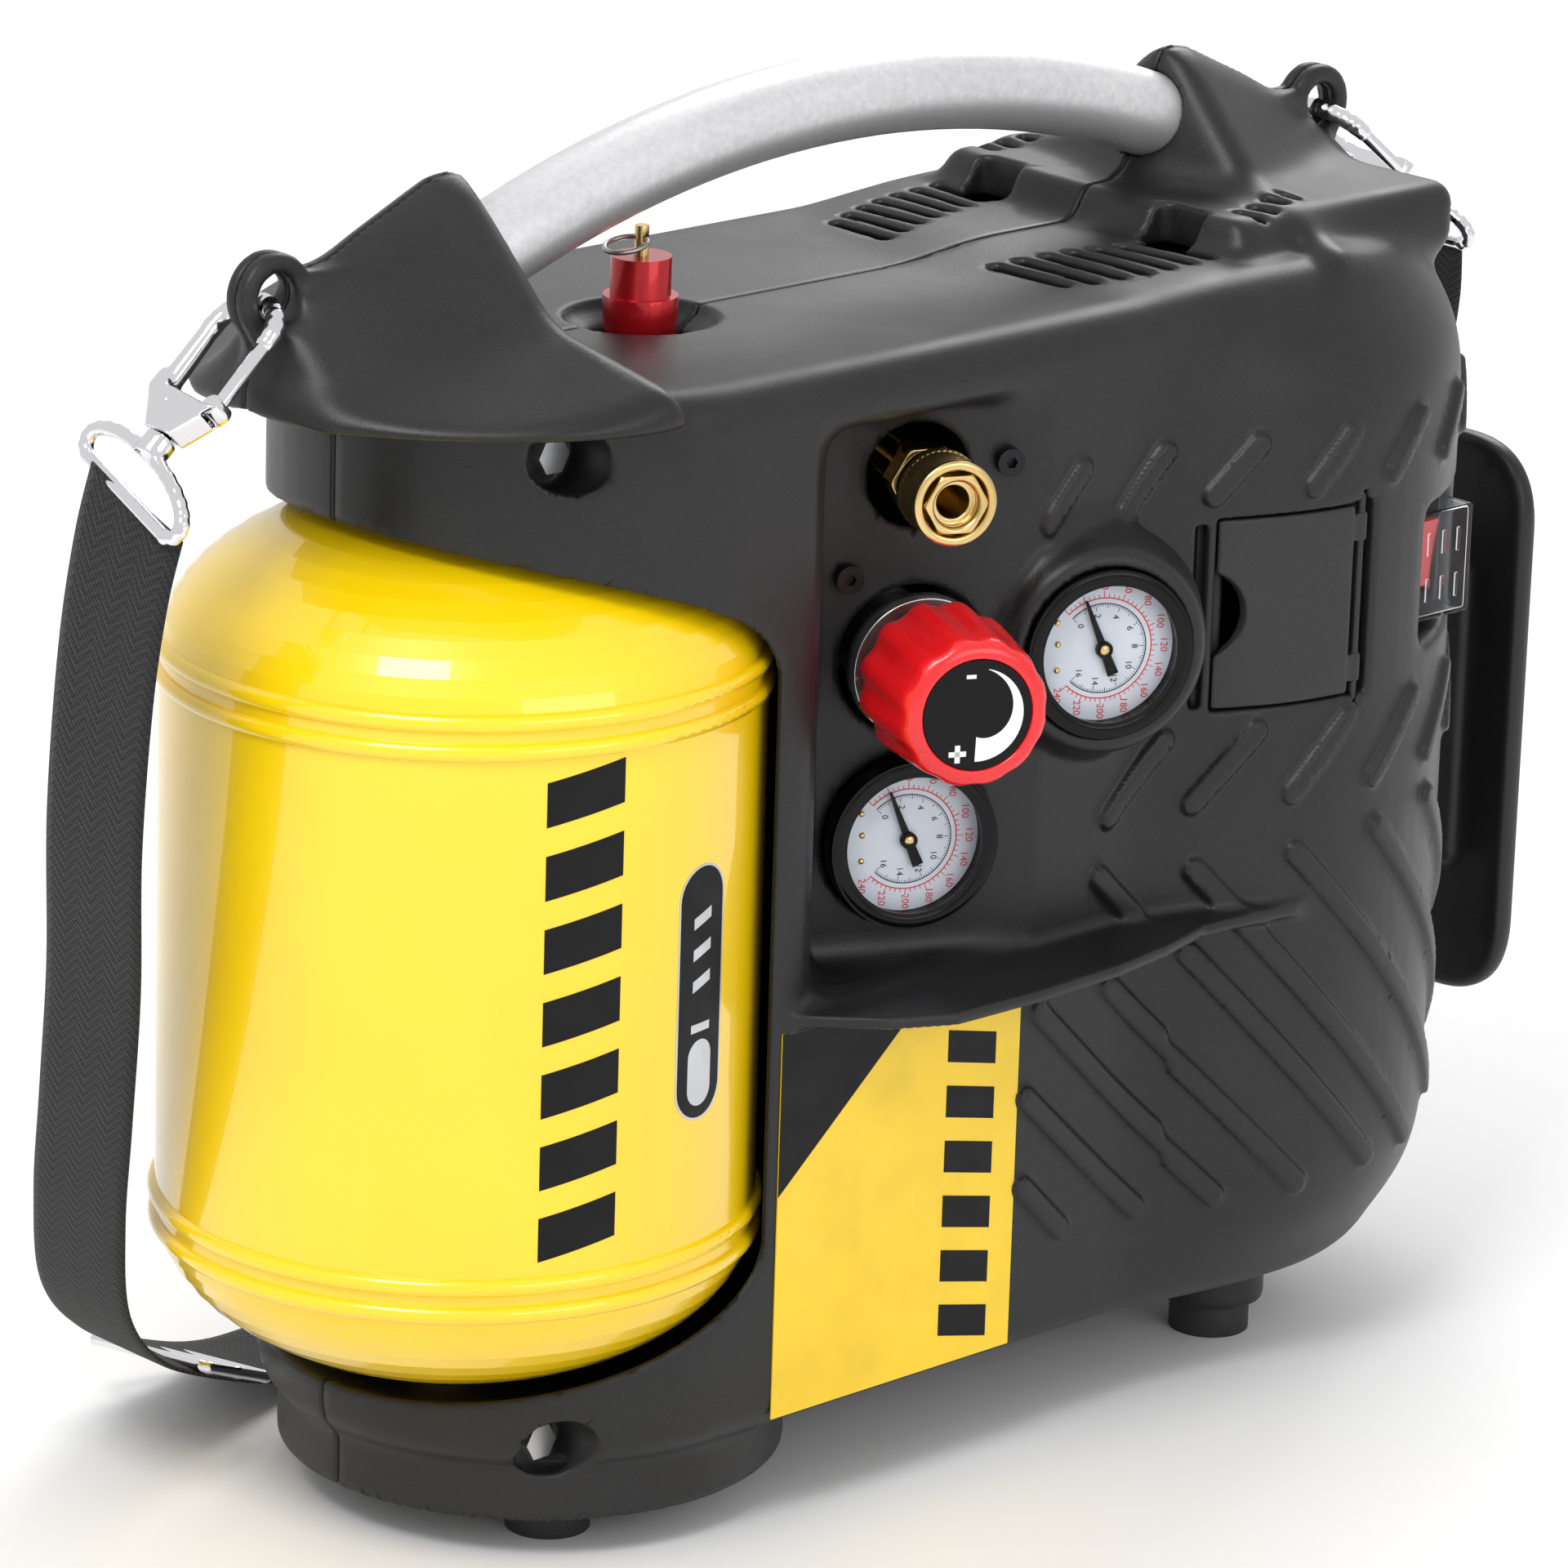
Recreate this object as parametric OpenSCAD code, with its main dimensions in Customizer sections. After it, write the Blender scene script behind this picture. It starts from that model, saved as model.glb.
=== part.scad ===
// Portable oil-free air compressor: upright tank, two-part moulded housing, tube handle.
// Machine coordinates: x from the tank's axis, y from the housing's parting plane, z from the floor.
// place() shifts them to the frame, whose origin is the centre of the bounding box's bottom face.

/* [Tank] */
// Outer radius of the tank's wall
tank_r = 84; // [82:0.5:84.5]
// Wall thickness of the tank
tank_wall = 2; // [1.5:0.5:3]
// Height of the lower weld bead above the floor
bead_low_z = 88; // [86:1:90]
// Height of the upper weld bead above the floor
bead_high_z = 249; // [247:1:251]
// Height of each domed end
dome_h = 45; // [43:1:46]

/* [Housing] */
// Half the width of the housing's flat middle
slab_half_w = 78; // [76:1:79]
// Centre of the housing's rounded tank end
slab_end_x = 30; // [29:1:31]
// Radius of the round motor housing
bulge_r = 97; // [96:1:98]
// Wall thickness of the housing
wall = 3; // [2.5:0.5:3.5]
// Clearance between the tank and the housing
tank_gap = 5; // [4:0.5:5.5]

/* [Handle] */
// Outer radius of the handle tube
tube_r = 12.5; // [11.5:0.5:13]
// Radius of the handle tube's arch
arch_r = 359; // [350:1:370]
// Height of the centre of the arch's crown
arch_top_z = 385; // [383:1:387]
// Half the angle that the tube covers
arch_half_a = 22; // [21.5:0.5:22.5]

/* [Control panel] */
// Angle that the control panel is turned towards the tank
panel_turn = 25; // [23:1:27]
// Height of the air outlet
outlet_z = 293; // [290:1:296]
// Height of the regulator and the outlet gauge
regulator_z = 240; // [238:1:242]
// Height of the tank gauge
low_gauge_z = 188; // [186:1:190]
// Outer radius of a gauge's case
gauge_r = 24.5; // [23.5:0.5:25]

/* [Pump] */
// Radius of the pump's bore
bore_r = 27; // [25:1:28]
// Throw of the crank
crank_throw = 8; // [6:1:9]
// Outer radius of the motor's stator
stator_r = 55; // [50:1:56]

/* [Carrying strap] */
// Width of the webbing
strap_w = 40; // [36:1:42]
// Thickness of the webbing
strap_t = 2; // [1.5:0.5:2.4]
// Radius of a snap hook's wire
hook_wire_r = 2.6; // [2.4:0.1:2.8]

/* [Hidden] */
$fn = 96;
centre_x = 150.52;
centre_y = 8.46;
big = 900;
run_gap = 0.05;
coupler_nose_r = 9.4;
coupler_end = 32;

// Housing
slab_low_z = 28;
slab_top_z = 333;
motor_x = 258;
bulge_low_z = 44;
bulge_high_z = 316;
bulge_taper = 30;
mirror_x = 130;
capsule_r = tank_r + tank_gap;
dome_low_z = bead_low_z - dome_h;
plinth_z = 12;
foot_r = 12;
foot_h = 12;
FEET = [[5, 36], [262, 46]];
// Through bolts as [x, z], heads on the control side
FRONT_BOLTS = [[-17, 317], [-14, 35]];
// Blind bolts with their heads on the plain side
REAR_BOLTS = [[150, 38], [165, 318], [335, 60], [335, 290]];
bolt_r = 3;
bolt_recess_r = 9;
head_y = 50;
nut_y = 46;

// Handle and strap ears
arch_x = 139;
arch_z = arch_top_z - arch_r;
ear_x = -71;
ear_z = 358;
ear_r = 12;
ear_hole_r = 6.5;
ear_t = 9;

// Control panel, as [offset along the panel, height]
panel_x = 110;
panel_y = -63;
OUTLET = [0, outlet_z];
REGULATOR = [0, regulator_z];
LOW_GAUGE = [0, low_gauge_z];
HIGH_GAUGE = [56, regulator_z];
PANEL_SCREWS = [[26, 296], [-20, 265]];
pocket_x0 = 60;
pocket_x1 = 143;
pocket_z0 = 152;
pocket_z1 = 315;
outlet_hole_r = 15;
regulator_hole_r = 21.5;
gauge_proud = 8;
gauge_back = 18;
regulator_r = 14;
knob_z = 17;
knob_top = 55;
knob_r0 = 23;
knob_r1 = 20.5;

// Storage door on the motor housing, as angles about the motor's axis
door_a0 = 240;
door_a1 = 267;
door_pin_a = 269.5;
door_pin_r = bulge_r - 2.4;
door_z0 = 212;
door_z1 = 268;
box_x0 = 214;
box_x1 = 246;
box_y = -62;

// Mains switch
switch_x = 305;
switch_z = 239;
switch_floor_y = -69;

// Relief valve
relief_x = 62;
relief_z = 318;

// Cord winder and gland
winder_x = 391;
winder_t = 8;
winder_half_w = 40;
winder_z0 = 72;
winder_z1 = 250;
neck_half_w = 20;
neck_z0 = 115;
neck_z1 = 210;
gland_z = 56;

// Tank fittings
boss_r = 11;
check_z = 150;
tank_outlet_z = 214;

// Pump and motor
pump_z = 88;
barrel_r = 33;
crankcase_r = 42;
crankcase_low = 50;
crankcase_top = 124;
shaft_r = 6;
stator_low = 130;
stator_high = 206;
bearing_r = 15;
bearing_h = 9;
low_bearing_z = 112;
high_bearing_z = 211;
fan_z = 250;
fan_r = 56;
barrel_x0 = 150;
plate_x0 = 145;
head_x0 = 120;
head_r = 36;
piston_x = 163;

// Manifold
manifold_x0 = 128;
manifold_x1 = 144;
manifold_y = 8;

// Snap hooks
hook_drop = 2.5;
bow_r = 11;
spine_end = 34;
block_end = 46;
barrel_end = 53;
left_tilt = 47;
right_tilt = 52;
ring_tilt = 20;
ring_half_w = 24;
ring_wire_r = 2;
left_roll = 20;
right_roll = 0;

// The webbing's middle line as [x, y, z, rise of its far edge, turn about the vertical]
STRAP_ROUTE = [
    [-115, 0, 309, 20, 0], [-118, 3, 290, 16, 0], [-119, 8, 260, 10, 0], [-117, 15, 215, 4, 0],
    [-110, 24, 170, 0, 0], [-103, 36, 128, 0, 0], [-94, 50, 92, 0, 0], [-80, 65, 58, 0, 0],
    [-56, 79, 34, 0, 0], [-25, 90, 18, 0, 0], [8, 101, 6, 0, 0], [45, 110, 2, 0, 0],
    [90, 115, 1.3, 0, 0], [150, 118, 1.3, 0, 0], [210, 118, 1.3, 0, 0], [270, 116, 1.3, 0, 0],
    [310, 113, 2, 0, 0], [340, 109, 9, 0, 4], [362, 105, 28, 0, 12], [378, 100, 60, 0, 22],
    [390, 93, 105, 0, 32], [399, 84, 155, 0, 40], [406, 70, 200, 0, 44], [407, 53, 235, 0, 42],
    [399, 28, 266, 0, 30], [387, 10, 290, 0, 12], [379, 0, 311, 0, 0]
];

// ---------- placing and shared shapes ----------

module place() {
    translate([-centre_x, -centre_y, 0]) children();
}

// Panel coordinates: +Z out of the panel, +X along it, +Y up
module on_panel(at) {
    translate([panel_x, panel_y, 0]) rotate([0, 0, -panel_turn]) translate([at[0], 0, at[1]])
        rotate([90, 0, 0]) children();
}

module along_x(at) {
    translate(at) rotate([0, 90, 0]) children();
}

module along_front(at) {
    translate(at) rotate([90, 0, 0]) children();
}

module far_end() {
    translate([2 * mirror_x, 0, 0]) mirror([1, 0, 0]) children();
}

module both_ends() {
    children();
    far_end() children();
}

module tube(outer_r, inner_r, h) {
    difference() {
        cylinder(r = outer_r, h = h);
        translate([0, 0, -1]) cylinder(r = inner_r, h = h + 2);
    }
}

module band(path_r, wire_r) {
    rotate_extrude() translate([path_r, 0]) circle(r = wire_r, $fn = 24);
}

// Straight round rod between two points
module rod(a, b, r) {
    d = b - a;
    translate(a) rotate([0, acos(d[2] / norm(d)), atan2(d[1], d[0])]) cylinder(r = r, h = norm(d));
}

module wire(points, r) {
    for (i = [1:len(points) - 1]) rod(points[i - 1], points[i], r);
    for (p = points) translate(p) sphere(r = r);
}

// ---------- tank ----------

module dome_solid(r, h) {
    rotate_extrude() polygon(concat([[0, 0]], [for (a = [0:6:90]) [r * cos(a), h * sin(a)]]));
}

module capsule(r, h) {
    translate([0, 0, bead_high_z]) dome_solid(r, h);
    translate([0, 0, bead_low_z]) cylinder(r = r, h = bead_high_z - bead_low_z);
    translate([0, 0, bead_low_z]) mirror([0, 0, 1]) dome_solid(r, h);
}

module tank_shell() {
    bead_gap = 5;
    color("gold") place() difference() {
        union() {
            translate([0, 0, bead_low_z]) cylinder(r = tank_r, h = bead_high_z - bead_low_z);
            for (z = [bead_low_z + bead_gap, bead_high_z - bead_gap])
                translate([0, 0, z]) band(tank_r - 0.6, 2.6);
        }
        translate([0, 0, bead_low_z - 1])
            cylinder(r = tank_r - tank_wall, h = bead_high_z - bead_low_z + 2);
        for (z = [check_z, tank_outlet_z]) along_x([tank_r - 9, 0, z]) cylinder(r = boss_r, h = 12);
    }
}

module tank_dome() {
    difference() {
        union() {
            dome_solid(tank_r, dome_h);
            translate([0, 0, 3]) band(tank_r - 0.8, 2.6);
        }
        dome_solid(tank_r - tank_wall, dome_h - tank_wall);
    }
}

module tank_top_dome() {
    color("gold") place() translate([0, 0, bead_high_z]) tank_dome();
}

module tank_bottom_dome() {
    color("gold") place() difference() {
        translate([0, 0, bead_low_z]) mirror([0, 0, 1]) tank_dome();
        translate([0, 0, dome_low_z - 5]) cylinder(r = boss_r, h = 20);
    }
}

module tank_bosses() {
    color("gold") place() {
        for (z = [check_z, tank_outlet_z]) along_x([tank_r - 5, 0, z]) tube(boss_r, 6, 11);
        translate([0, 0, dome_low_z - 3]) tube(boss_r, 5, 8);
    }
}

module check_valve() {
    hex_x = tank_r + 6;
    color("goldenrod") place() difference() {
        union() {
            along_x([tank_r - 4, 0, check_z]) cylinder(r = 6, h = 10);
            along_x([hex_x, 0, check_z]) cylinder(r = 12, h = 12, $fn = 6);
            along_x([hex_x + 12, 0, check_z]) cylinder(r = 8, h = 9);
        }
        along_x([tank_r - 6, 0, check_z]) cylinder(r = 3.5, h = 40);
    }
}

module drain_valve_body() {
    color("goldenrod") place() difference() {
        union() {
            translate([0, 0, dome_low_z - 3]) cylinder(r = 5, h = 8);
            translate([0, 0, dome_low_z - 11]) cylinder(r = 8, h = 8, $fn = 6);
        }
        translate([0, 0, dome_low_z - 12]) cylinder(r = 2 + run_gap, h = 20);
    }
}

module drain_knob() {
    color("goldenrod") place() difference() {
        union() {
            translate([0, 0, dome_low_z - 13]) cylinder(r = 2, h = 12);
            translate([0, 0, dome_low_z - 20]) cylinder(r = 9, h = 8);
        }
        for (i = [0:11]) rotate([0, 0, i * 30])
            translate([9.8, 0, dome_low_z - 21]) cylinder(r = 1.6, h = 10, $fn = 24);
    }
}

// ---------- housing ----------

module slab(t) {
    translate([0, 0, slab_low_z + t]) linear_extrude(slab_top_z - slab_low_z - 2 * t) {
        translate([slab_end_x, t - slab_half_w])
            square([motor_x - slab_end_x, 2 * (slab_half_w - t)]);
        translate([slab_end_x, 0]) circle(r = slab_half_w - t);
    }
}

module bulge(t) {
    r = bulge_r - t;
    translate([motor_x, 0, 0]) rotate_extrude() polygon([
        [0, slab_low_z + t], [r - bulge_taper, slab_low_z + t], [r, bulge_low_z],
        [r, bulge_high_z], [r - bulge_taper, slab_top_z - t], [0, slab_top_z - t]
    ]);
}

module side_profile(half_w, points) {
    translate([0, half_w, 0]) rotate([90, 0, 0]) linear_extrude(2 * half_w) polygon(points);
}

// Handle holder with its skirt and strap ear, drawn for the tank end
module holder() {
    intersection() {
        translate([3, 0, 320]) cylinder(r = 82, h = 19);
        translate([-100, -100, 300]) cube([118, 200, 60]);
    }
    side_profile(44, [[-62, 325], [-58, 343], [-30, 353], [6, 353], [16, 331]]);
    side_profile(21, [[-73, 325], [-73, 345], [-50, 361], [-17, 384], [-7, 382], [4, 364], [15, 331]]);
    translate([0, ear_t / 2, 0]) along_front([ear_x, 0, ear_z]) {
        cylinder(r = ear_r, h = ear_t);
        translate([-4, -28, 0]) cube([16, 28, ear_t]);
        translate([0, -12, 0]) cube([24, 14, ear_t]);
    }
}

module handle_path(r) {
    translate([arch_x, 0, arch_z]) rotate([90, 0, 0]) rotate([0, 0, 90 - arch_half_a])
        rotate_extrude(angle = 2 * arch_half_a) translate([arch_r, 0]) circle(r = r);
}

module at_feet() {
    for (f = FEET) for (s = [-1, 1]) translate([f[0], s * f[1], 0]) children();
}

// Skirt under the tank's cradle, and the four legs
module plinth() {
    translate([slab_end_x, 0, plinth_z]) tube(slab_half_w - 6, slab_half_w - 9, 22);
    at_feet() translate([0, 0, foot_h - 2]) cylinder(r = foot_r + 4, h = 24);
}

module shelf() {
    translate([0, 0, 148]) linear_extrude(4) polygon([
        [52, -70], [53, -79], [72, -97], [90, -106], [122, -107], [156, -105],
        [179, -101], [200, -95], [236, -97], [250, -90], [250, -70]
    ]);
    translate([150, -100, 138]) cube([3, 30, 12]);
}

module collar() {
    on_panel(HIGH_GAUGE) translate([0, 0, -12]) cylinder(r = gauge_r + 3, h = 11 + gauge_proud);
}

// Cut that forms the turned control panel, grown by t behind its faces
module panel_pocket(t) {
    floor_y = function(x) panel_y - (x - panel_x) * tan(panel_turn);
    outside_y = -slab_half_w - 60;
    translate([0, 0, pocket_z0]) linear_extrude(pocket_z1 - pocket_z0 + t) polygon([
        [pocket_x0 - t, outside_y], [pocket_x0 - t, t - slab_half_w], [84 - t, floor_y(84) + t],
        [pocket_x1, floor_y(pocket_x1) + t], [pocket_x1 + t, outside_y]
    ]);
}

// Storage compartment behind the door, grown by t behind its faces
module storage_box(t) {
    edge = 3;
    translate([box_x0 - t, -bulge_r - 10, door_z0 + edge - t])
        cube([box_x1 - box_x0 + 2 * t, bulge_r + 10 + box_y + t, door_z1 - door_z0 - 2 * (edge - t)]);
}

module switch_pocket(t) {
    translate([switch_x - 16 - t, -bulge_r - 10, switch_z - 21 - t])
        cube([60 + t, bulge_r + 10 + switch_floor_y + t, 42 + 2 * t]);
}

module relief_pocket(t) {
    translate([relief_x, 0, relief_z - t]) cylinder(r = 15 + t, h = 40);
}

module bulge_sector(r0, r1, a0, a1, z0, z1) {
    translate([motor_x, 0, z0]) rotate([0, 0, a0]) rotate_extrude(angle = a1 - a0)
        translate([r0, 0]) square([r1 - r0, z1 - z0]);
}

module at_bolts() {
    for (b = concat(FRONT_BOLTS, REAR_BOLTS)) along_front([b[0], 0, b[1]]) children();
}

module cavity() {
    difference() {
        union() {
            slab(wall);
            bulge(wall);
        }
        capsule(capsule_r + wall, dome_h + tank_gap + wall);
        panel_pocket(wall);
        storage_box(wall);
        switch_pocket(wall);
        relief_pocket(wall);
        bulge_sector(bulge_r - 9, bulge_r, door_a0 - 3, door_pin_a + 5, door_z0 - 6, door_z1 + 6);
        at_bolts() translate([0, 0, -bulge_r]) cylinder(r = bolt_recess_r + 2, h = 2 * bulge_r);
    }
}

module vents() {
    for (i = [0:5]) for (s = [-1, 1])
        translate([181 + i * 9, s * (38 + i) - (13 - i), slab_top_z - 8]) cube([4, 26 - 2 * i, 16]);
}

module panel_holes() {
    holes = [
        [OUTLET, outlet_hole_r], [REGULATOR, regulator_hole_r], [LOW_GAUGE, gauge_r],
        [HIGH_GAUGE, gauge_r]
    ];
    for (h = holes) on_panel(h[0]) translate([0, 0, -gauge_back - 4]) cylinder(r = h[1], h = 50);
    for (s = PANEL_SCREWS) on_panel(s) translate([0, 0, -10]) cylinder(r = 2, h = 20);
}

// Space for one housing bolt: its shank, its head's recess and a nut's pocket where it has one
module bolt_space(at, turn, with_nut) {
    deep = 70;
    translate([at[0], 0, at[1]]) rotate([turn, 0, 0]) {
        translate([0, 0, -nut_y]) cylinder(r = bolt_r, h = nut_y + deep);
        translate([0, 0, head_y]) cylinder(r = bolt_recess_r, h = deep);
        if (with_nut) translate([0, 0, -nut_y - deep]) cylinder(r = 5.6, h = deep, $fn = 6);
    }
}

module bolt_holes() {
    for (b = FRONT_BOLTS) bolt_space(b, 90, true);
    for (b = REAR_BOLTS) bolt_space(b, -90, false);
}

module door_seat() {
    bulge_sector(bulge_r - 3.4, bulge_r + 5, door_a0 - 0.4, door_a1 + 1, door_z0 - 0.4, door_z1 + 0.4);
    bulge_sector(bulge_r - 5.4, bulge_r + 5, door_a1 - 0.2, door_pin_a + 2.2, door_z0 - 1, door_z1 + 1);
    at_door_pin() translate([0, 0, door_z0 - 3.4]) cylinder(r = 1.35, h = door_z1 - door_z0 + 6.8);
}

module at_door_pin() {
    translate([motor_x, 0, 0]) rotate([0, 0, door_pin_a]) translate([door_pin_r, 0, 0]) children();
}

module fitting_holes() {
    for (z = [check_z, tank_outlet_z]) along_x([tank_r - 4, 0, z]) cylinder(r = 14, h = 30);
    translate([0, 0, -1]) cylinder(r = 14, h = 60);
    translate([relief_x, 0, relief_z - 10]) cylinder(r = 7, h = 20);
    translate([switch_x - 11, switch_floor_y - 3, switch_z - 14.5]) cube([22, 20, 29]);
    along_x([motor_x + bulge_r - 14, 0, gland_z]) cylinder(r = 7, h = 30);
    at_feet() translate([0, 0, -1]) cylinder(r = foot_r, h = foot_h + 1);
    both_ends() along_front([ear_x, 20, ear_z]) cylinder(r = ear_hole_r, h = 40);
}

module housing_cuts() {
    capsule(capsule_r, dome_h + tank_gap);
    cavity();
    storage_box(0);
    switch_pocket(0);
    relief_pocket(0);
    handle_path(tube_r);
    bolt_holes();
    door_seat();
    fitting_holes();
    vents();
}

module half(side) {
    intersection() {
        children();
        translate([-big / 2, side > 0 ? 0 : -big, -1]) cube([2 * big, big, big]);
    }
}

module front_shell() {
    color([0.14, 0.14, 0.15]) place() half(-1) difference() {
        union() {
            difference() {
                union() {
                    slab(0);
                    bulge(0);
                    both_ends() holder();
                    plinth();
                }
                panel_pocket(0);
            }
            shelf();
            collar();
        }
        housing_cuts();
        panel_holes();
    }
}

module rear_shell() {
    color([0.14, 0.14, 0.15]) place() half(1) difference() {
        union() {
            slab(0);
            bulge(0);
            both_ends() holder();
            plinth();
        }
        housing_cuts();
    }
}

module handle_tube() {
    color("silver") place() difference() {
        handle_path(tube_r);
        handle_path(tube_r - 2);
    }
}

module side_label() {
    color("gold") place() translate([50, -slab_half_w - 0.4, 33]) cube([93, 0.4, 114]);
}

module rubber_feet() {
    color([0.08, 0.08, 0.08]) place() at_feet() difference() {
        cylinder(r = foot_r, h = foot_h);
        translate([0, 0, -1]) cylinder(r = 4, h = 6);
    }
}

module tube_hex(r, hole_r, h) {
    difference() {
        cylinder(r = r, h = h, $fn = 6);
        translate([0, 0, -1]) cylinder(r = hole_r, h = h + 2);
    }
}

module bolt(at, turn, with_nut) {
    nut_h = 5;
    tail = with_nut ? nut_y + nut_h : nut_y;
    translate([at[0], 0, at[1]]) rotate([turn, 0, 0]) {
        translate([0, 0, -tail]) cylinder(r = bolt_r, h = tail + head_y);
        translate([0, 0, head_y]) cylinder(r = 5.4, h = 4, $fn = 6);
        if (with_nut) translate([0, 0, -tail]) tube_hex(5.4, bolt_r, nut_h);
    }
}

module shell_bolts() {
    color("lightgray") place() {
        for (b = FRONT_BOLTS) bolt(b, 90, true);
        for (b = REAR_BOLTS) bolt(b, -90, false);
    }
}

module panel_screws() {
    color([0.1, 0.1, 0.1]) place() for (s = PANEL_SCREWS) on_panel(s) difference() {
        union() {
            translate([0, 0, -9]) cylinder(r = 2, h = 9);
            cylinder(r = 4, h = 3.5);
        }
        translate([0, 0, 1.5]) cylinder(r = 1.7, h = 3, $fn = 6);
    }
}

// ---------- storage door and switch ----------

module storage_door() {
    lug_r = 2;
    lug_h = 8;
    LUGS = [door_z0 + 3, door_z1 - 3 - lug_h];
    color([0.16, 0.16, 0.17]) place() {
        difference() {
            bulge_sector(bulge_r - 3, bulge_r, door_a0, door_a1, door_z0, door_z1);
            bulge_sector(bulge_r - 1.2, bulge_r + 1, door_a0 - 1, door_a0 + 2, 233, 247);
        }
        at_door_pin() translate([0, 0, door_z0 - 3]) cylinder(r = 1.3, h = door_z1 - door_z0 + 6);
        for (z = LUGS) {
            bulge_sector(bulge_r - 2.8, bulge_r - 1.2, door_a1 - 0.5, door_pin_a, z + 0.5, z + lug_h - 0.5);
            at_door_pin() translate([0, 0, z]) cylinder(r = lug_r, h = lug_h);
        }
    }
}

module switch_body() {
    color([0.1, 0.1, 0.1]) place() difference() {
        union() {
            translate([switch_x - 13, switch_floor_y - 2, switch_z - 16.5]) cube([26, 2, 33]);
            translate([switch_x - 11, switch_floor_y, switch_z - 14.5]) cube([22, 25, 29]);
        }
        translate([switch_x - 8.5, switch_floor_y - 10, switch_z - 12.5]) cube([17, 22, 25]);
    }
}

module switch_rocker() {
    color("red") place() translate([switch_x, switch_floor_y - 1, switch_z]) {
        rotate([0, 90, 0]) translate([0, 0, -7.8]) linear_extrude(15.6)
            polygon([[-11, -1], [-10.4, -5], [0, -3.2], [10.4, -2.2], [11, 1], [4, 5], [-4, 5]]);
        rotate([0, 90, 0]) translate([0, 0, -8.4]) cylinder(r = 1.5, h = 16.8);
    }
}

module switch_cover() {
    color([0.9, 0.9, 0.95, 0.4]) place() difference() {
        translate([switch_x - 13, switch_floor_y - 15, switch_z - 16.5]) cube([26, 13, 33]);
        translate([switch_x - 12, switch_floor_y - 14, switch_z - 15.5]) cube([24, 15, 31]);
    }
}

// ---------- regulator, gauges, outlet ----------

module behind_manifold_face() {
    translate([0, -manifold_y, 0]) translate([-big / 2, 0, -1]) cube([2 * big, big, big]);
}

module regulator_body() {
    color("silver") place() difference() {
        on_panel(REGULATOR) {
            translate([0, 0, -34]) cylinder(r = regulator_r, h = 56);
            translate([0, 0, -80]) cylinder(r = 6, h = 50);
            translate([0, 0, 20]) cylinder(r = 4, h = 20);
            translate([0, 0, -28]) rotate([0, 90, 0]) cylinder(r = 5, h = HIGH_GAUGE[0] + 6);
        }
        behind_manifold_face();
    }
}

module regulator_nut() {
    color("silver") place() on_panel(REGULATOR) translate([0, 0, 3]) tube(regulator_r + 6.5, regulator_r, 7);
}

module regulator_knob() {
    flutes = 12;
    flute_r = 4;
    color("red") place() on_panel(REGULATOR) difference() {
        rotate_extrude() polygon([
            [0, knob_z], [knob_r0, knob_z], [knob_r0, knob_z + 10], [knob_r1 + 1, knob_top - 3],
            [knob_r1 - 1, knob_top], [0, knob_top]
        ]);
        translate([0, 0, knob_z - 1]) cylinder(r = regulator_r + 1, h = 8);
        translate([0, 0, knob_z]) cylinder(r = 4 + run_gap, h = 25);
        translate([0, 0, knob_top - 2.5]) cylinder(r = 15.6, h = 4);
        for (i = [0:flutes - 1]) rotate([0, 0, i * 360 / flutes])
            translate([knob_r0 + 2.2, 0, knob_z - 1]) cylinder(r = flute_r, h = knob_top);
    }
}

module knob_disc() {
    color([0.05, 0.05, 0.05]) place() on_panel(REGULATOR)
        translate([0, 0, knob_top - 2.5]) cylinder(r = 15.6, h = 1.9);
}

module on_gauges() {
    for (g = [HIGH_GAUGE, LOW_GAUGE]) on_panel(g) children();
}

module gauge_cases() {
    color([0.06, 0.06, 0.06]) place() {
        on_gauges() gauge_case();
        difference() {
            on_panel(LOW_GAUGE) translate([0, 0, -80]) cylinder(r = 4, h = 80 - gauge_back);
            behind_manifold_face();
        }
    }
}

module gauge_case() {
    lip = 1.2;
    difference() {
        translate([0, 0, -gauge_back]) cylinder(r = gauge_r, h = gauge_back + gauge_proud);
        cylinder(r = gauge_r - 3.5, h = gauge_proud - lip);
        cylinder(r = gauge_r - 4.5, h = gauge_proud + 1);
        translate([0, 0, -6]) cylinder(r = 0.9, h = 8);
    }
    translate([0, 0, -gauge_back - 5]) cylinder(r = 5, h = 5);
}

module gauge_dials() {
    color("white") place() on_gauges() tube(gauge_r - 3.5, 1, 0.8);
}

module needle(at, start_a) {
    color([0.05, 0.05, 0.05]) place() on_panel(at) rotate([0, 0, start_a]) {
        translate([0, 0, -4]) cylinder(r = 0.85, h = 6.5);
        translate([0, 0, 1.6]) cylinder(r = 2.4, h = 1.6);
        translate([0, 0, 1.9]) linear_extrude(0.7)
            polygon([[-1.6, -8], [1.6, -8], [0.35, 15.5], [-0.35, 15.5]]);
    }
}

module outlet_needle() {
    needle(HIGH_GAUGE, 22);
}

module tank_needle() {
    needle(LOW_GAUGE, 22);
}

module gauge_lenses() {
    color([0.9, 0.95, 1, 0.35]) place() on_gauges()
        translate([0, 0, gauge_proud - 2.7]) cylinder(r = gauge_r - 3.5, h = 1.5);
}

module coupler_body() {
    stem = 80;
    color("goldenrod") place() difference() {
        on_panel(OUTLET) {
            translate([0, 0, -stem]) cylinder(r = 6, h = stem);
            cylinder(r = 11, h = 7.6, $fn = 6);
            cylinder(r = 8.6, h = 28);
            translate([0, 0, 27]) cylinder(r = coupler_nose_r, h = coupler_end - 27, $fn = 6);
        }
        on_panel(OUTLET) translate([0, 0, 8]) cylinder(r = 5, h = 40);
        behind_manifold_face();
    }
}

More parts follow.
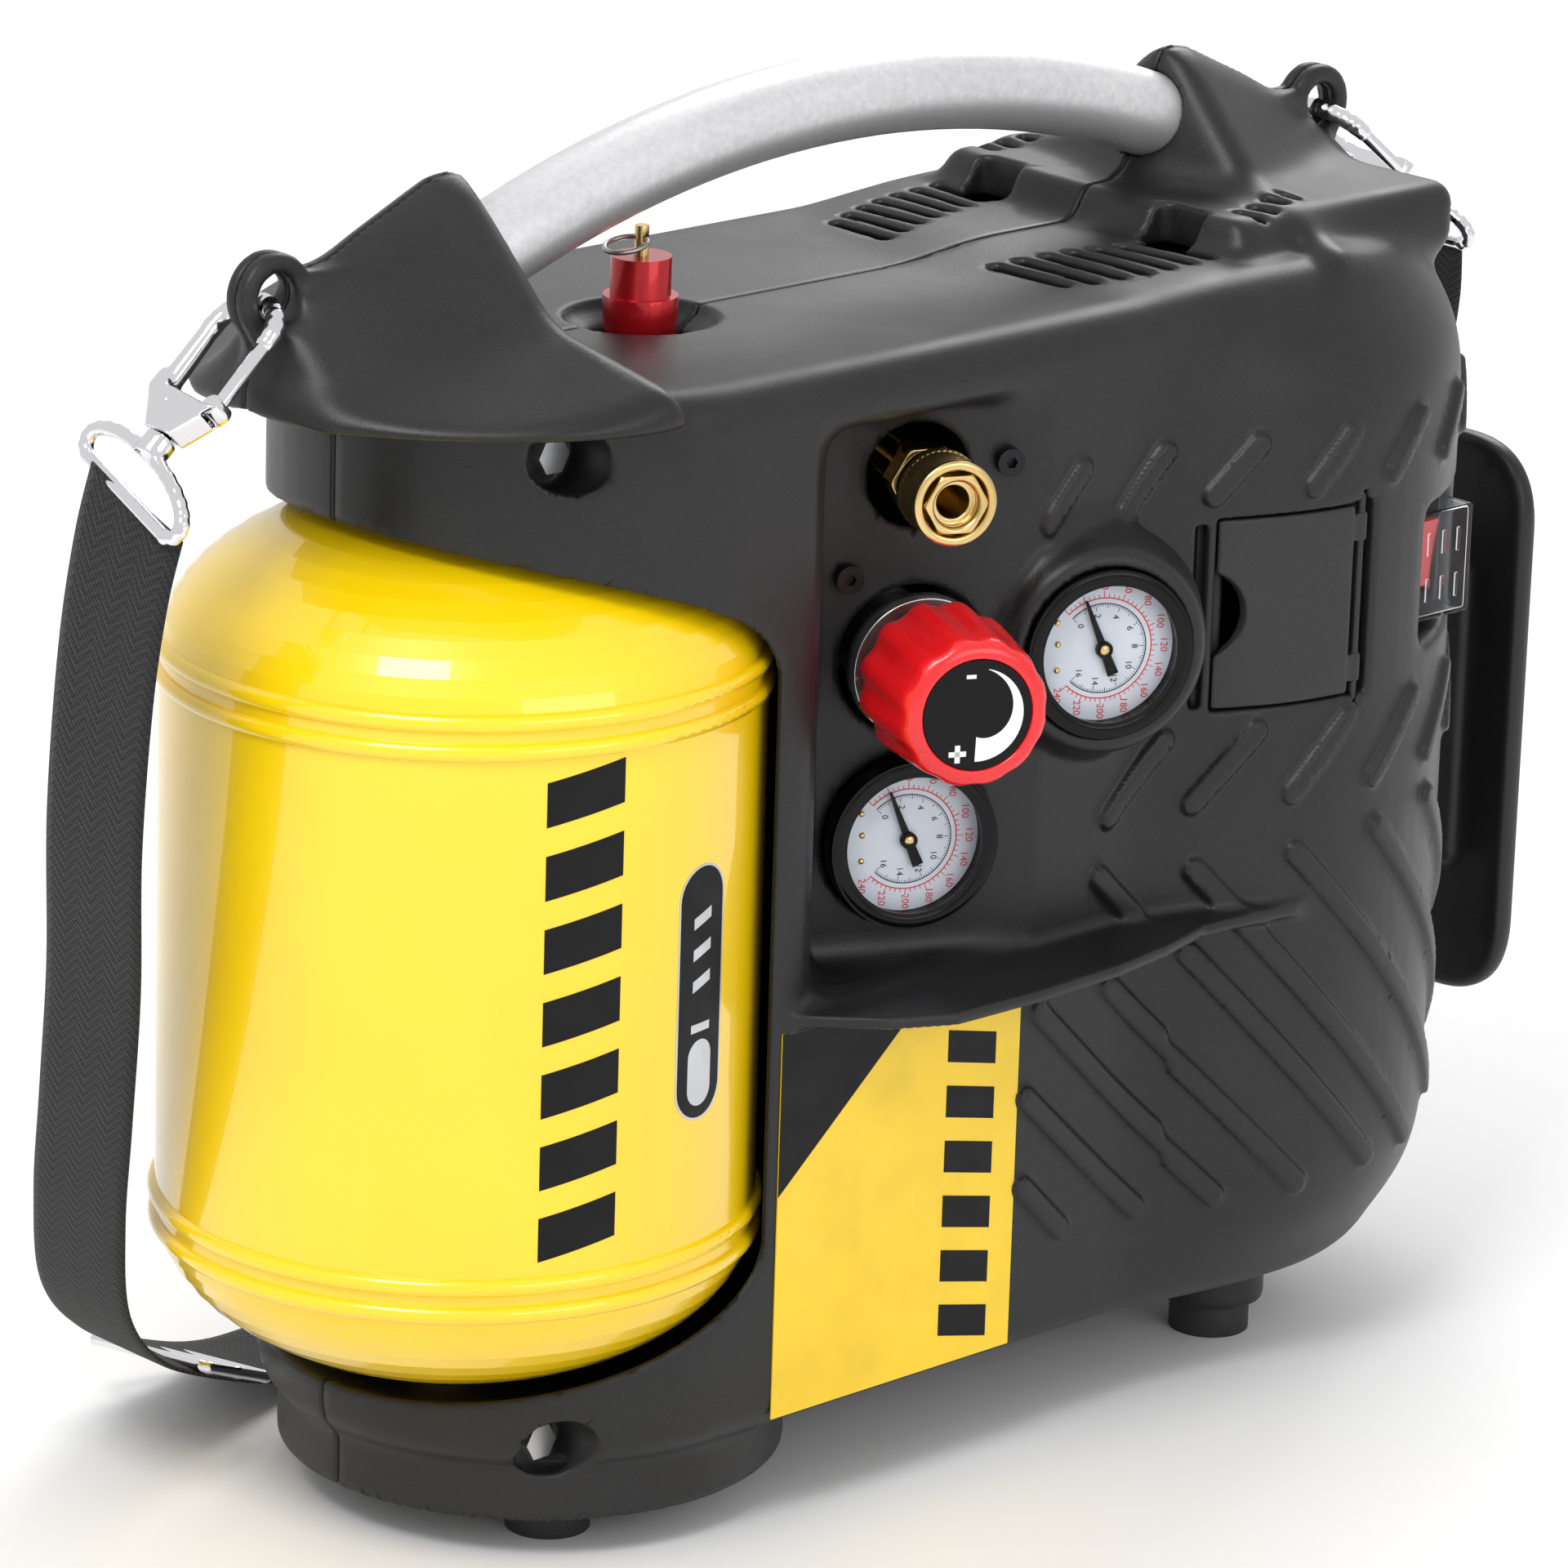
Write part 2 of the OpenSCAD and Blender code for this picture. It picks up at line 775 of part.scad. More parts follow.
// Release collar: a lip at its front, a lip behind its knurl, and a narrower back end
module coupler_sleeve() {
    lip_r = 12;
    back = 12;
    back_lip = 16;
    front = 31;
    color("goldenrod") place() on_panel(OUTLET) difference() {
        union() {
            translate([0, 0, back]) cylinder(r = lip_r - 1, h = front - back - 1);
            for (z = [back_lip, front - 2]) translate([0, 0, z]) cylinder(r = lip_r, h = 2);
            translate([0, 0, back_lip + 1]) cylinder(r = lip_r - 0.4, h = front - back_lip - 2.5);
        }
        translate([0, 0, back - 1]) cylinder(r = coupler_nose_r + run_gap, h = front - back + 2);
    }
}

// ---------- relief valve ----------

module relief_valve_base() {
    color("goldenrod") place() translate([relief_x, 0, 0]) difference() {
        union() {
            translate([0, 0, relief_z - 5]) cylinder(r = 6.5, h = 6);
            translate([0, 0, relief_z]) cylinder(r = 9.5, h = 10, $fn = 6);
        }
        translate([0, 0, relief_z - 6]) cylinder(r = 3, h = 20);
    }
}

module relief_valve_cap() {
    color("crimson") place() translate([relief_x, 0, relief_z + 10]) difference() {
        union() {
            cylinder(r = 10.5, h = 11);
            cylinder(r = 8.5, h = 22);
        }
        translate([0, 0, 4]) cylinder(r = 2 + run_gap, h = 20);
    }
}

module relief_valve_pin() {
    color("goldenrod") place() translate([relief_x, 0, relief_z + 14.5]) difference() {
        cylinder(r = 2, h = 26);
        along_front([0, 4, 22.5]) cylinder(r = 1.1, h = 8);
    }
}

module relief_ring() {
    ring_r = 6;
    color("silver") place() translate([relief_x, 0, relief_z + 37]) rotate([0, -12, 0])
        translate([-ring_r, 0, 0]) band(ring_r, 0.7);
}

// ---------- cord winder and gland ----------

module cord_winder() {
    corner = 16;
    color([0.15, 0.15, 0.16]) place() difference() {
        union() {
            along_x([winder_x, 0, 0]) linear_extrude(winder_t) for (s = [-1, 1]) {
                translate([-winder_z1, -winder_half_w + corner])
                    square([winder_z1 - winder_z0, 2 * (winder_half_w - corner)]);
                translate([-winder_z1 + corner, -winder_half_w])
                    square([winder_z1 - winder_z0 - 2 * corner, 2 * winder_half_w]);
                for (z = [winder_z0 + corner, winder_z1 - corner])
                    translate([-z, s * (winder_half_w - corner)]) circle(r = corner);
            }
            translate([motor_x + 80, -neck_half_w, neck_z0])
                cube([winder_x - motor_x - 79, 2 * neck_half_w, neck_z1 - neck_z0]);
        }
        translate([motor_x, 0, 0]) cylinder(r = bulge_r, h = 400);
        translate([motor_x + 80, wall - neck_half_w, neck_z0 + wall])
            cube([winder_x - motor_x - 80 - wall, 2 * (neck_half_w - wall), neck_z1 - neck_z0 - 2 * wall]);
    }
}

module cord_gland() {
    color([0.08, 0.08, 0.08]) place() difference() {
        union() {
            along_x([motor_x + bulge_r - 8, 0, gland_z]) cylinder(r = 7, h = 16);
            along_x([motor_x + bulge_r + 0.1, 0, gland_z]) cylinder(r = 10, h = 4);
        }
        along_x([motor_x + bulge_r - 10, 0, gland_z]) cylinder(r = 3.5, h = 24);
    }
}

// ---------- motor and pump ----------

module motor_stator() {
    slots = 24;
    color("gray") place() translate([motor_x, 0, stator_low]) difference() {
        cylinder(r = stator_r, h = stator_high - stator_low);
        translate([0, 0, -1]) cylinder(r = stator_r - 20, h = stator_high - stator_low + 2);
        for (i = [0:slots - 1]) rotate([0, 0, i * 360 / slots])
            translate([stator_r - 17, 0, -1]) cylinder(r = 2.4, h = stator_high - stator_low + 2, $fn = 24);
    }
}

module motor_rotor() {
    color("silver") place() translate([motor_x, 0, 0]) {
        translate([0, 0, stator_low + 4])
            cylinder(r = stator_r - 20.5, h = stator_high - stator_low - 8);
        translate([0, 0, crankcase_top - 28]) cylinder(r = shaft_r, h = fan_z + 22 - crankcase_top + 28);
    }
}

module motor_end_bell() {
    color("silver") place() translate([motor_x, 0, stator_high]) difference() {
        cylinder(r = stator_r, h = 16);
        translate([0, 0, -1]) cylinder(r = shaft_r + 2, h = 20);
        translate([0, 0, 5]) cylinder(r = bearing_r, h = bearing_h);
        for (i = [0:5]) rotate([0, 0, i * 60]) translate([36, 0, -1]) cylinder(r = 10, h = 20);
    }
}

module motor_bearings() {
    color("lightgray") place() for (z = [low_bearing_z, high_bearing_z])
        translate([motor_x, 0, z]) tube(bearing_r, shaft_r + run_gap, bearing_h);
}

module cooling_fan() {
    blades = 9;
    color([0.2, 0.2, 0.22]) place() translate([motor_x, 0, fan_z]) difference() {
        union() {
            cylinder(r = 14, h = 20);
            cylinder(r = fan_r, h = 2);
            for (i = [0:blades - 1]) rotate([0, 0, i * 360 / blades])
                translate([12, -1, 0]) cube([fan_r - 13, 2, 18]);
        }
        translate([0, 0, -1]) cylinder(r = shaft_r, h = 30);
    }
}

module crank_disc() {
    color("dimgray") place() translate([motor_x, 0, crankcase_top - 28]) {
        tube(18, shaft_r, 12);
        translate([crank_throw, 0, -4]) cylinder(r = 5, h = 4);
    }
}

module crankcase() {
    color("silver") place() difference() {
        union() {
            translate([motor_x, 0, crankcase_low]) cylinder(r = crankcase_r, h = crankcase_top - crankcase_low);
            translate([motor_x, 0, crankcase_top]) cylinder(r = stator_r, h = stator_low - crankcase_top);
            for (a = [45:90:315]) translate([motor_x, 0, slab_low_z + wall]) rotate([0, 0, a])
                translate([30, 0, 0]) cylinder(r = 8, h = crankcase_low - slab_low_z - wall + 1);
        }
        translate([motor_x, 0, crankcase_low + 4]) cylinder(r = crankcase_r - 6, h = 56);
        translate([motor_x, 0, low_bearing_z]) cylinder(r = bearing_r, h = bearing_h);
        translate([motor_x, 0, low_bearing_z - 5]) cylinder(r = shaft_r + 2, h = 40);
        along_x([motor_x - 60, 0, pump_z]) cylinder(r = bore_r, h = 50);
    }
}

module pump_cylinder() {
    fins = 7;
    fin_r = 35.5;
    color("silver") place() difference() {
        union() {
            along_x([barrel_x0, 0, pump_z]) cylinder(r = barrel_r - 3, h = 90);
            for (i = [0:fins - 1]) along_x([barrel_x0 + 6 + 8 * i, 0, pump_z]) cylinder(r = fin_r, h = 2.5);
            along_x([barrel_x0, 0, pump_z]) cylinder(r = head_r, h = 5);
        }
        along_x([barrel_x0 - 1, 0, pump_z]) cylinder(r = bore_r, h = 120);
        translate([motor_x, 0, 0]) cylinder(r = crankcase_r, h = 200);
        head_bolt_holes();
    }
}

module head_bolt_holes() {
    for (a = [45:90:315]) translate([head_x0 - 1, 0, pump_z]) rotate([a, 0, 0])
        translate([0, 31.5, 0]) rotate([0, 90, 0]) cylinder(r = 2.2, h = 60);
}

module piston_rod() {
    rod_low = pump_z - 6;
    color("silver") place() difference() {
        union() {
            along_x([piston_x - 4, 0, pump_z]) cylinder(r = bore_r - 2, h = 9);
            translate([piston_x, -7, rod_low]) cube([motor_x - piston_x, 14, 8]);
            translate([motor_x, 0, rod_low]) cylinder(r = 13, h = 8);
        }
        translate([motor_x, 0, rod_low - 1]) cylinder(r = 8, h = 12);
    }
}

module piston_seal() {
    color([0.2, 0.2, 0.2]) place() along_x([piston_x - 2, 0, pump_z])
        tube(bore_r - run_gap, bore_r - 2, 4);
}

module valve_plate() {
    color("silver") place() difference() {
        along_x([plate_x0, 0, pump_z]) cylinder(r = head_r, h = barrel_x0 - plate_x0);
        for (y = [-11, 11]) along_x([plate_x0 - 1, y, pump_z]) cylinder(r = 5, h = 20);
        head_bolt_holes();
    }
}

module cylinder_head() {
    color("silver") place() difference() {
        along_x([head_x0, 0, pump_z]) cylinder(r = head_r, h = plate_x0 - head_x0);
        for (s = [-1, 1]) translate([head_x0 + 6, s * 12.5 - 10, pump_z - 14]) cube([40, 20, 28]);
        head_bolt_holes();
        translate([head_x0 + 12, 12, pump_z + 8]) cylinder(r = 3, h = 40);
        along_front([head_x0 + 12, -12, pump_z]) cylinder(r = 4, h = 40);
    }
}

module head_bolts() {
    color("lightgray") place() for (a = [45:90:315]) translate([head_x0 - 4, 0, pump_z]) rotate([a, 0, 0])
        translate([0, 31.5, 0]) rotate([0, 90, 0]) {
            cylinder(r = 4, h = 4, $fn = 6);
            cylinder(r = 2.2, h = 38);
        }
}

module air_filter() {
    color([0.12, 0.12, 0.12]) place() difference() {
        union() {
            along_front([head_x0 + 12, -20, pump_z]) cylinder(r = 6, h = 22);
            along_front([head_x0 + 12, -42, pump_z]) cylinder(r = 14, h = 24);
        }
        along_x([head_x0 - 5, 0, pump_z]) cylinder(r = head_r, h = 60);
        along_front([head_x0 + 12, -20, pump_z]) cylinder(r = 4, h = 40);
    }
}

module delivery_pipe() {
    bend = 9;
    pipe_r = 4;
    px = head_x0 + 12;
    py = 12;
    top_z = check_z;
    color("peru") place() difference() {
        union() {
            translate([px, py, pump_z + 20]) cylinder(r = pipe_r, h = top_z - bend - pump_z - 20);
            translate([px - bend, py, top_z - bend]) rotate([90, 0, 0]) rotate_extrude(angle = 90)
                translate([bend, 0]) circle(r = pipe_r);
            translate([px - bend, py, top_z]) sphere(r = pipe_r);
            rod([px - bend, py, top_z], [tank_r + 32, 0, top_z], pipe_r);
            along_x([tank_r + 27, 0, top_z]) cylinder(r = 6, h = 6);
        }
        along_x([head_x0 - 5, 0, pump_z]) cylinder(r = head_r, h = 60);
    }
}

// ---------- air circuit and electrics ----------

module manifold() {
    color("goldenrod") place() difference() {
        union() {
            translate([50, -manifold_y, 299]) cube([manifold_x1 - 50, 2 * manifold_y, 14]);
            translate([manifold_x0, -manifold_y, 178])
                cube([manifold_x1 - manifold_x0, 2 * manifold_y, 125]);
            along_x([tank_r + 6, 0, tank_outlet_z]) cylinder(r = 10, h = 10, $fn = 6);
            along_x([tank_r + 6, 0, tank_outlet_z]) cylinder(r = 6, h = 40);
        }
        along_x([tank_r, 0, tank_outlet_z]) cylinder(r = 3, h = 50);
        translate([(manifold_x0 + manifold_x1) / 2, 0, 185]) cylinder(r = 3, h = 120);
        along_x([56, 0, 306]) cylinder(r = 3, h = 80);
    }
}

module pressure_switch() {
    color([0.12, 0.12, 0.13]) place() {
        translate([112, manifold_y + 6, 255]) cube([40, 34, 36]);
        translate([136, manifold_y + 6, 275]) rotate([90, 0, 0]) cylinder(r = 5, h = 6);
    }
}

module capacitor() {
    color("whitesmoke") place() translate([172, slab_half_w - wall - 18, 175]) cylinder(r = 18, h = 62);
}

// ---------- carrying strap ----------

// Hook coordinates: +Z towards the ear, +X towards the gate, origin where the wire hangs
module hook_frame(tilt) {
    translate([ear_x, 0, ear_z]) rotate([0, tilt, 0]) rotate([0, 0, -90])
        translate([0, 0, -hook_drop]) children();
}

module snap_hook() {
    translate([0, 0, -bow_r]) rotate([90, 0, 0]) rotate_extrude(angle = 180)
        translate([bow_r, 0]) circle(r = hook_wire_r, $fn = 32);
    translate([-bow_r, 0, -spine_end]) cylinder(r = hook_wire_r, h = spine_end - bow_r);
    difference() {
        translate([0, 4.5, 0]) rotate([90, 0, 0]) linear_extrude(9)
            polygon([[-14, -spine_end], [14, -spine_end], [5, -block_end], [-5, -block_end]]);
        translate([bow_r, 0, -spine_end]) rotate([90, 0, 0]) translate([0, 0, -6])
            cylinder(r = 3.4, h = 12);
        translate([0, 0, -block_end - 1]) cylinder(r = 2 + run_gap, h = 9);
    }
}

module hook_gate() {
    translate([bow_r, 0, -spine_end]) {
        rotate([90, 0, 0]) translate([0, 0, -3]) cylinder(r = 3, h = 6);
        cylinder(r = 2, h = spine_end - bow_r - 0.4);
    }
}

module snap_hook_left() {
    color("silver") place() hook_frame(left_tilt) snap_hook();
}

module snap_hook_right() {
    color("silver") place() far_end() hook_frame(right_tilt) snap_hook();
}

module hook_gate_left() {
    color("silver") place() hook_frame(left_tilt) hook_gate();
}

module hook_gate_right() {
    color("silver") place() far_end() hook_frame(right_tilt) hook_gate();
}

module ring_and_stud(tilt, roll) {
    reach = barrel_end - 1;
    drop = 13;
    hook_frame(tilt) {
        translate([0, 0, -barrel_end]) cylinder(r = 4.5, h = barrel_end - block_end - 0.3);
        translate([0, 0, -block_end - 1]) cylinder(r = 2, h = 8);
    }
    hook_frame(tilt) translate([0, 0, -reach]) rotate([0, 0, 90]) rotate([0, ring_tilt - tilt, 0])
        rotate([roll, 0, 0]) rotate([0, 0, -90])
            wire([
                [0, 0, 0], [-14, 0, 0], [-ring_half_w, 0, -7], [-ring_half_w, 0, -drop],
                [ring_half_w, 0, -drop], [ring_half_w, 0, -7], [14, 0, 0], [0, 0, 0]
            ], ring_wire_r);
}

module strap_rings() {
    color("silver") place() {
        ring_and_stud(left_tilt, left_roll);
        far_end() ring_and_stud(right_tilt, right_roll);
    }
}

function strap_side(p) = [-sin(p[4]) * cos(p[3]), cos(p[4]) * cos(p[3]), sin(p[3])];
function strap_point(i) = [STRAP_ROUTE[i][0], STRAP_ROUTE[i][1], STRAP_ROUTE[i][2]];
function unit(v) = v / norm(v);
function strap_normal(i) = unit(cross(strap_point(min(i + 1, len(STRAP_ROUTE) - 1))
    - strap_point(max(i - 1, 0)), strap_side(STRAP_ROUTE[i])));
function strap_corners(i) = [for (c = [[1, 1], [-1, 1], [-1, -1], [1, -1]])
    strap_point(i) + c[0] * strap_w / 2 * strap_side(STRAP_ROUTE[i]) + c[1] * strap_t / 2 * strap_normal(i)];

module strap_webbing() {
    last = len(STRAP_ROUTE) - 1;
    points = [for (i = [0:last]) each strap_corners(i)];
    sides = [for (i = [0:last - 1]) for (k = [0:3])
        each [[4 * i + k, 4 * i + (k + 1) % 4, 4 * i + 4 + (k + 1) % 4],
              [4 * i + k, 4 * i + 4 + (k + 1) % 4, 4 * i + 4 + k]]];
    ends = [[3, 2, 1], [3, 1, 0], [4 * last, 4 * last + 1, 4 * last + 2], [4 * last, 4 * last + 2, 4 * last + 3]];
    color([0.1, 0.1, 0.1]) place() polyhedron(points = points, faces = concat(sides, ends));
}

module strap_slider() {
    half_l = 13;
    half_w = 25;
    color("silver") place() translate([-25, 90, 18.4]) rotate([0, 0, 19]) rotate([0, 22, 0]) rotate([0, 0, -19]) {
        wire([[-half_l, -half_w, 0], [half_l, -half_w, 0], [half_l, half_w, 0], [-half_l, half_w, 0],
            [-half_l, -half_w, 0]], 1.8);
        rod([0, -half_w, 0], [0, half_w, 0], 1.8);
    }
}

tank_shell();
tank_top_dome();
tank_bottom_dome();
tank_bosses();
check_valve();
drain_valve_body();
drain_knob();
front_shell();
rear_shell();
handle_tube();
side_label();
storage_door();
switch_body();
switch_rocker();
switch_cover();
regulator_body();
regulator_nut();
regulator_knob();
knob_disc();
gauge_cases();
gauge_dials();
outlet_needle();
tank_needle();
gauge_lenses();
coupler_body();
coupler_sleeve();
relief_valve_base();
relief_valve_cap();
relief_valve_pin();
relief_ring();
cord_winder();
rubber_feet();
shell_bolts();
panel_screws();
motor_stator();
motor_rotor();
motor_end_bell();
motor_bearings();
cooling_fan();
crank_disc();
crankcase();
pump_cylinder();
piston_rod();
piston_seal();
valve_plate();
cylinder_head();
head_bolts();
air_filter();
delivery_pipe();
manifold();
pressure_switch();
capacitor();
cord_gland();
snap_hook_left();
snap_hook_right();
hook_gate_left();
hook_gate_right();
strap_rings();
strap_webbing();
strap_slider();
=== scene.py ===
"""Portable air compressor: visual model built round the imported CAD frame.

Working coordinates are millimetres from the tank's axis on the floor, as the CAD part uses them:
x runs from the tank to the motor, y from the control side (negative) to the plain side, z up.
"""
import math

import bmesh
import bpy
import numpy as np
import openvdb
from mathutils import Matrix, Vector


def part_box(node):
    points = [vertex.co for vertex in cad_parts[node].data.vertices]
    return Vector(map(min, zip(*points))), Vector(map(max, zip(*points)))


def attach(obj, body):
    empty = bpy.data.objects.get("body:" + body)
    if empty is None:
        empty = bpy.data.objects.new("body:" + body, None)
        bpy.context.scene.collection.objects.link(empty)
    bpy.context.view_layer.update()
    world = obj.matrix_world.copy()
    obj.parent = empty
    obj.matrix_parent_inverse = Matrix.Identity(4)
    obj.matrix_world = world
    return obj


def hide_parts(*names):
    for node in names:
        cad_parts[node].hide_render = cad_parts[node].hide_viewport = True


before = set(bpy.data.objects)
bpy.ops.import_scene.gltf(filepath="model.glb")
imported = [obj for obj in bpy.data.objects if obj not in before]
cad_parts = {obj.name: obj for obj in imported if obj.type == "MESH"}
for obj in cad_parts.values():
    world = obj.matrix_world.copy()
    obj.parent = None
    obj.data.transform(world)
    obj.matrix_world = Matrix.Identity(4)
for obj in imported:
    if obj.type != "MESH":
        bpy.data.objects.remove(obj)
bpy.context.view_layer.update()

MM = 0.001
TANK_LOW, TANK_HIGH = (np.array(c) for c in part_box("tank_shell"))
TANK_AXIS = np.array([(TANK_LOW[0] + TANK_HIGH[0]) / 2, (TANK_LOW[1] + TANK_HIGH[1]) / 2, 0.0])
TANK_R = 84.0
ROOT = "housing"


def to_frame(points):
    """Millimetres from the tank's axis to metres in the shared frame."""
    return np.asarray(points, float) * MM + TANK_AXIS


def box_of(node):
    """A CAD node's low and high corners, in millimetres from the tank's axis."""
    return [(np.array(corner) - TANK_AXIS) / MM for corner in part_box(node)]


# ---------- camera ----------

CAMERA_AT = (-1362.8, -1552.6, 857.0)
CAMERA_YAW = -43.73
CAMERA_PITCH = -17.35
CAMERA_ROLL = 1.77
CAMERA_LENS = 180.4
SENSOR_WIDTH = 36.0


def make_camera():
    """The photo's camera, in degrees and millimetres from the tank's axis."""
    data = bpy.data.cameras.new("camera")
    data.lens = CAMERA_LENS
    data.sensor_width = SENSOR_WIDTH
    data.clip_end = 20.0
    camera = bpy.data.objects.new("camera", data)
    turn = Matrix.Rotation(math.radians(CAMERA_YAW), 4, "Z")
    turn @= Matrix.Rotation(math.radians(90 + CAMERA_PITCH), 4, "X")
    turn @= Matrix.Rotation(math.radians(CAMERA_ROLL), 4, "Z")
    camera.matrix_world = Matrix.Translation(Vector(to_frame(CAMERA_AT))) @ turn
    bpy.context.scene.collection.objects.link(camera)
    bpy.context.scene.camera = camera


make_camera()

# ---------- materials ----------


class Finish:
    """A Principled material with helpers for its procedural detail."""

    def __init__(self, name, color, roughness=0.4, metallic=0.0, **sockets):
        self.material = bpy.data.materials.new(name)
        self.material.use_nodes = True
        self.nodes = self.material.node_tree.nodes
        self.links = self.material.node_tree.links
        self.shader = self.nodes["Principled BSDF"]
        self.color = color
        self.set("Base Color", (*color, 1.0))
        self.set("Roughness", roughness)
        self.set("Metallic", metallic)
        for key, value in sockets.items():
            self.set(key.replace("_", " ").title().replace("Ior", "IOR"), value)
        coordinates = self.nodes.new("ShaderNodeTexCoord")
        self.place = coordinates.outputs["Object"]
        self.uv = coordinates.outputs["UV"]
        self.height = None

    def set(self, socket, value):
        self.shader.inputs[socket].default_value = value

    def noise(self, scale, detail=2.0, stretch=(1, 1, 1), roughness=0.5):
        """Noise over the surface; scale is in cells per metre."""
        mapping = self.nodes.new("ShaderNodeMapping")
        mapping.inputs["Scale"].default_value = stretch
        self.links.new(self.place, mapping.inputs["Vector"])
        node = self.nodes.new("ShaderNodeTexNoise")
        node.inputs["Scale"].default_value = scale
        node.inputs["Detail"].default_value = detail
        node.inputs["Roughness"].default_value = roughness
        self.links.new(mapping.outputs["Vector"], node.inputs["Vector"])
        return node.outputs["Fac"]

    def math(self, operation, a, b=0.0, c=0.0):
        node = self.nodes.new("ShaderNodeMath")
        node.operation = operation
        for socket, value in zip(node.inputs, (a, b, c)):
            if isinstance(value, (int, float)):
                socket.default_value = value
            else:
                self.links.new(value, socket)
        return node.outputs[0]

    def ramp(self, value, low, high, out_low, out_high):
        node = self.nodes.new("ShaderNodeMapRange")
        for socket, number in zip(list(node.inputs)[1:5], (low, high, out_low, out_high)):
            socket.default_value = number
        self.links.new(value, node.inputs[0])
        return node.outputs[0]

    def vary_roughness(self, value, low, high):
        self.links.new(self.ramp(value, 0.3, 0.7, low, high), self.shader.inputs["Roughness"])
        return self

    def vary_color(self, value, other, low=0.35, high=0.65):
        """Mixes the base colour with another one by value."""
        node = self.nodes.new("ShaderNodeMix")
        node.data_type = "RGBA"
        self.links.new(self.ramp(value, low, high, 0.0, 1.0), node.inputs[0])
        node.inputs[6].default_value = (*self.color, 1.0)
        node.inputs[7].default_value = (*other, 1.0)
        self.links.new(node.outputs[2], self.shader.inputs["Base Color"])
        return self

    def bump(self, value, depth_mm, strength=1.0):
        node = self.nodes.new("ShaderNodeBump")
        node.inputs["Strength"].default_value = strength
        node.inputs["Distance"].default_value = depth_mm * MM
        self.links.new(value, node.inputs["Height"])
        if self.height is not None:
            self.links.new(self.height, node.inputs["Normal"])
        self.height = node.outputs["Normal"]
        self.links.new(self.height, self.shader.inputs["Normal"])
        return self


def moulded(name, color, roughness, depth=0.05, **sockets):
    """Plastic with the fine spark-eroded texture of a mould and faint flow marks."""
    finish = Finish(name, color, roughness, **sockets)
    grain = finish.noise(1500, 2)
    patches = finish.noise(28, 3)
    lighter = tuple(min(1.0, c * 1.35 + 0.004) for c in color)
    mixed = finish.math("MULTIPLY_ADD", grain, 0.6, finish.math("MULTIPLY", patches, 0.4))
    finish.vary_color(mixed, lighter)
    finish.vary_roughness(patches, roughness - 0.04, roughness + 0.05)
    return finish.bump(grain, depth)


def machined(name, color, roughness, lines=(1, 1, 1), scale=900, depth=0.02, **sockets):
    """Bare or plated metal with fine tool marks."""
    finish = Finish(name, color, roughness, 1.0, **sockets)
    marks = finish.noise(scale, 2, lines)
    finish.vary_roughness(finish.noise(60, 4), roughness * 0.75, roughness * 1.3)
    return finish.bump(marks, depth)


def enamel():
    finish = Finish("yellow_enamel", (0.96, 0.62, 0.0), 0.32, coat_weight=1.0, coat_roughness=0.04)
    finish.vary_color(finish.noise(9, 3), (1.0, 0.68, 0.001))
    finish.vary_roughness(finish.noise(40, 3), 0.26, 0.36)
    return finish.bump(finish.noise(260, 2), 0.05, 0.35)


def anodised_tube():
    finish = Finish("anodised_tube", (0.80, 0.80, 0.81), 0.42, 0.7)
    grain = finish.noise(420, 5, (1, 1, 1), 0.65)
    streaks = finish.noise(300, 3, (0.05, 1, 0.3))
    mixed = finish.math("MULTIPLY_ADD", grain, 0.7, finish.math("MULTIPLY", streaks, 0.3))
    finish.vary_color(mixed, (0.64, 0.64, 0.655))
    finish.vary_roughness(grain, 0.36, 0.5)
    return finish.bump(grain, 0.03)


def woven():
    """Webbing: ribs across it and a herringbone twill, laid out on the strap's own UVs in metres."""
    rib_pitch, thread_pitch, twill_pitch, herringbone = 0.0016, 0.0022, 0.0032, 0.0055
    finish = Finish("strap_webbing", (0.008, 0.008, 0.009), 0.8, sheen_weight=0.08, sheen_roughness=0.5,
                    specular_ior_level=0.3)
    split = finish.nodes.new("ShaderNodeSeparateXYZ")
    finish.links.new(finish.uv, split.inputs[0])
    along, across = split.outputs[0], split.outputs[1]

    def wave(value, pitch):
        return finish.math("SINE", finish.math("MULTIPLY", value, 2 * math.pi / pitch))

    rib, thread = wave(along, rib_pitch), wave(across, thread_pitch)
    zigzag = finish.math("PINGPONG", across, herringbone)
    twill = wave(finish.math("ADD", along, zigzag), twill_pitch)
    cloth = finish.math("ADD", finish.math("MULTIPLY", rib, thread), finish.math("MULTIPLY", twill, 0.7))
    finish.vary_color(cloth, (0.030, 0.030, 0.032), -1.0, 1.4)
    return finish.bump(cloth, 0.16, 0.8)


def knurled_brass():
    finish = machined("brass", (0.76, 0.56, 0.25), 0.24, scale=700)
    return finish.vary_color(finish.noise(50, 4), (0.62, 0.43, 0.17), 0.4, 0.75)


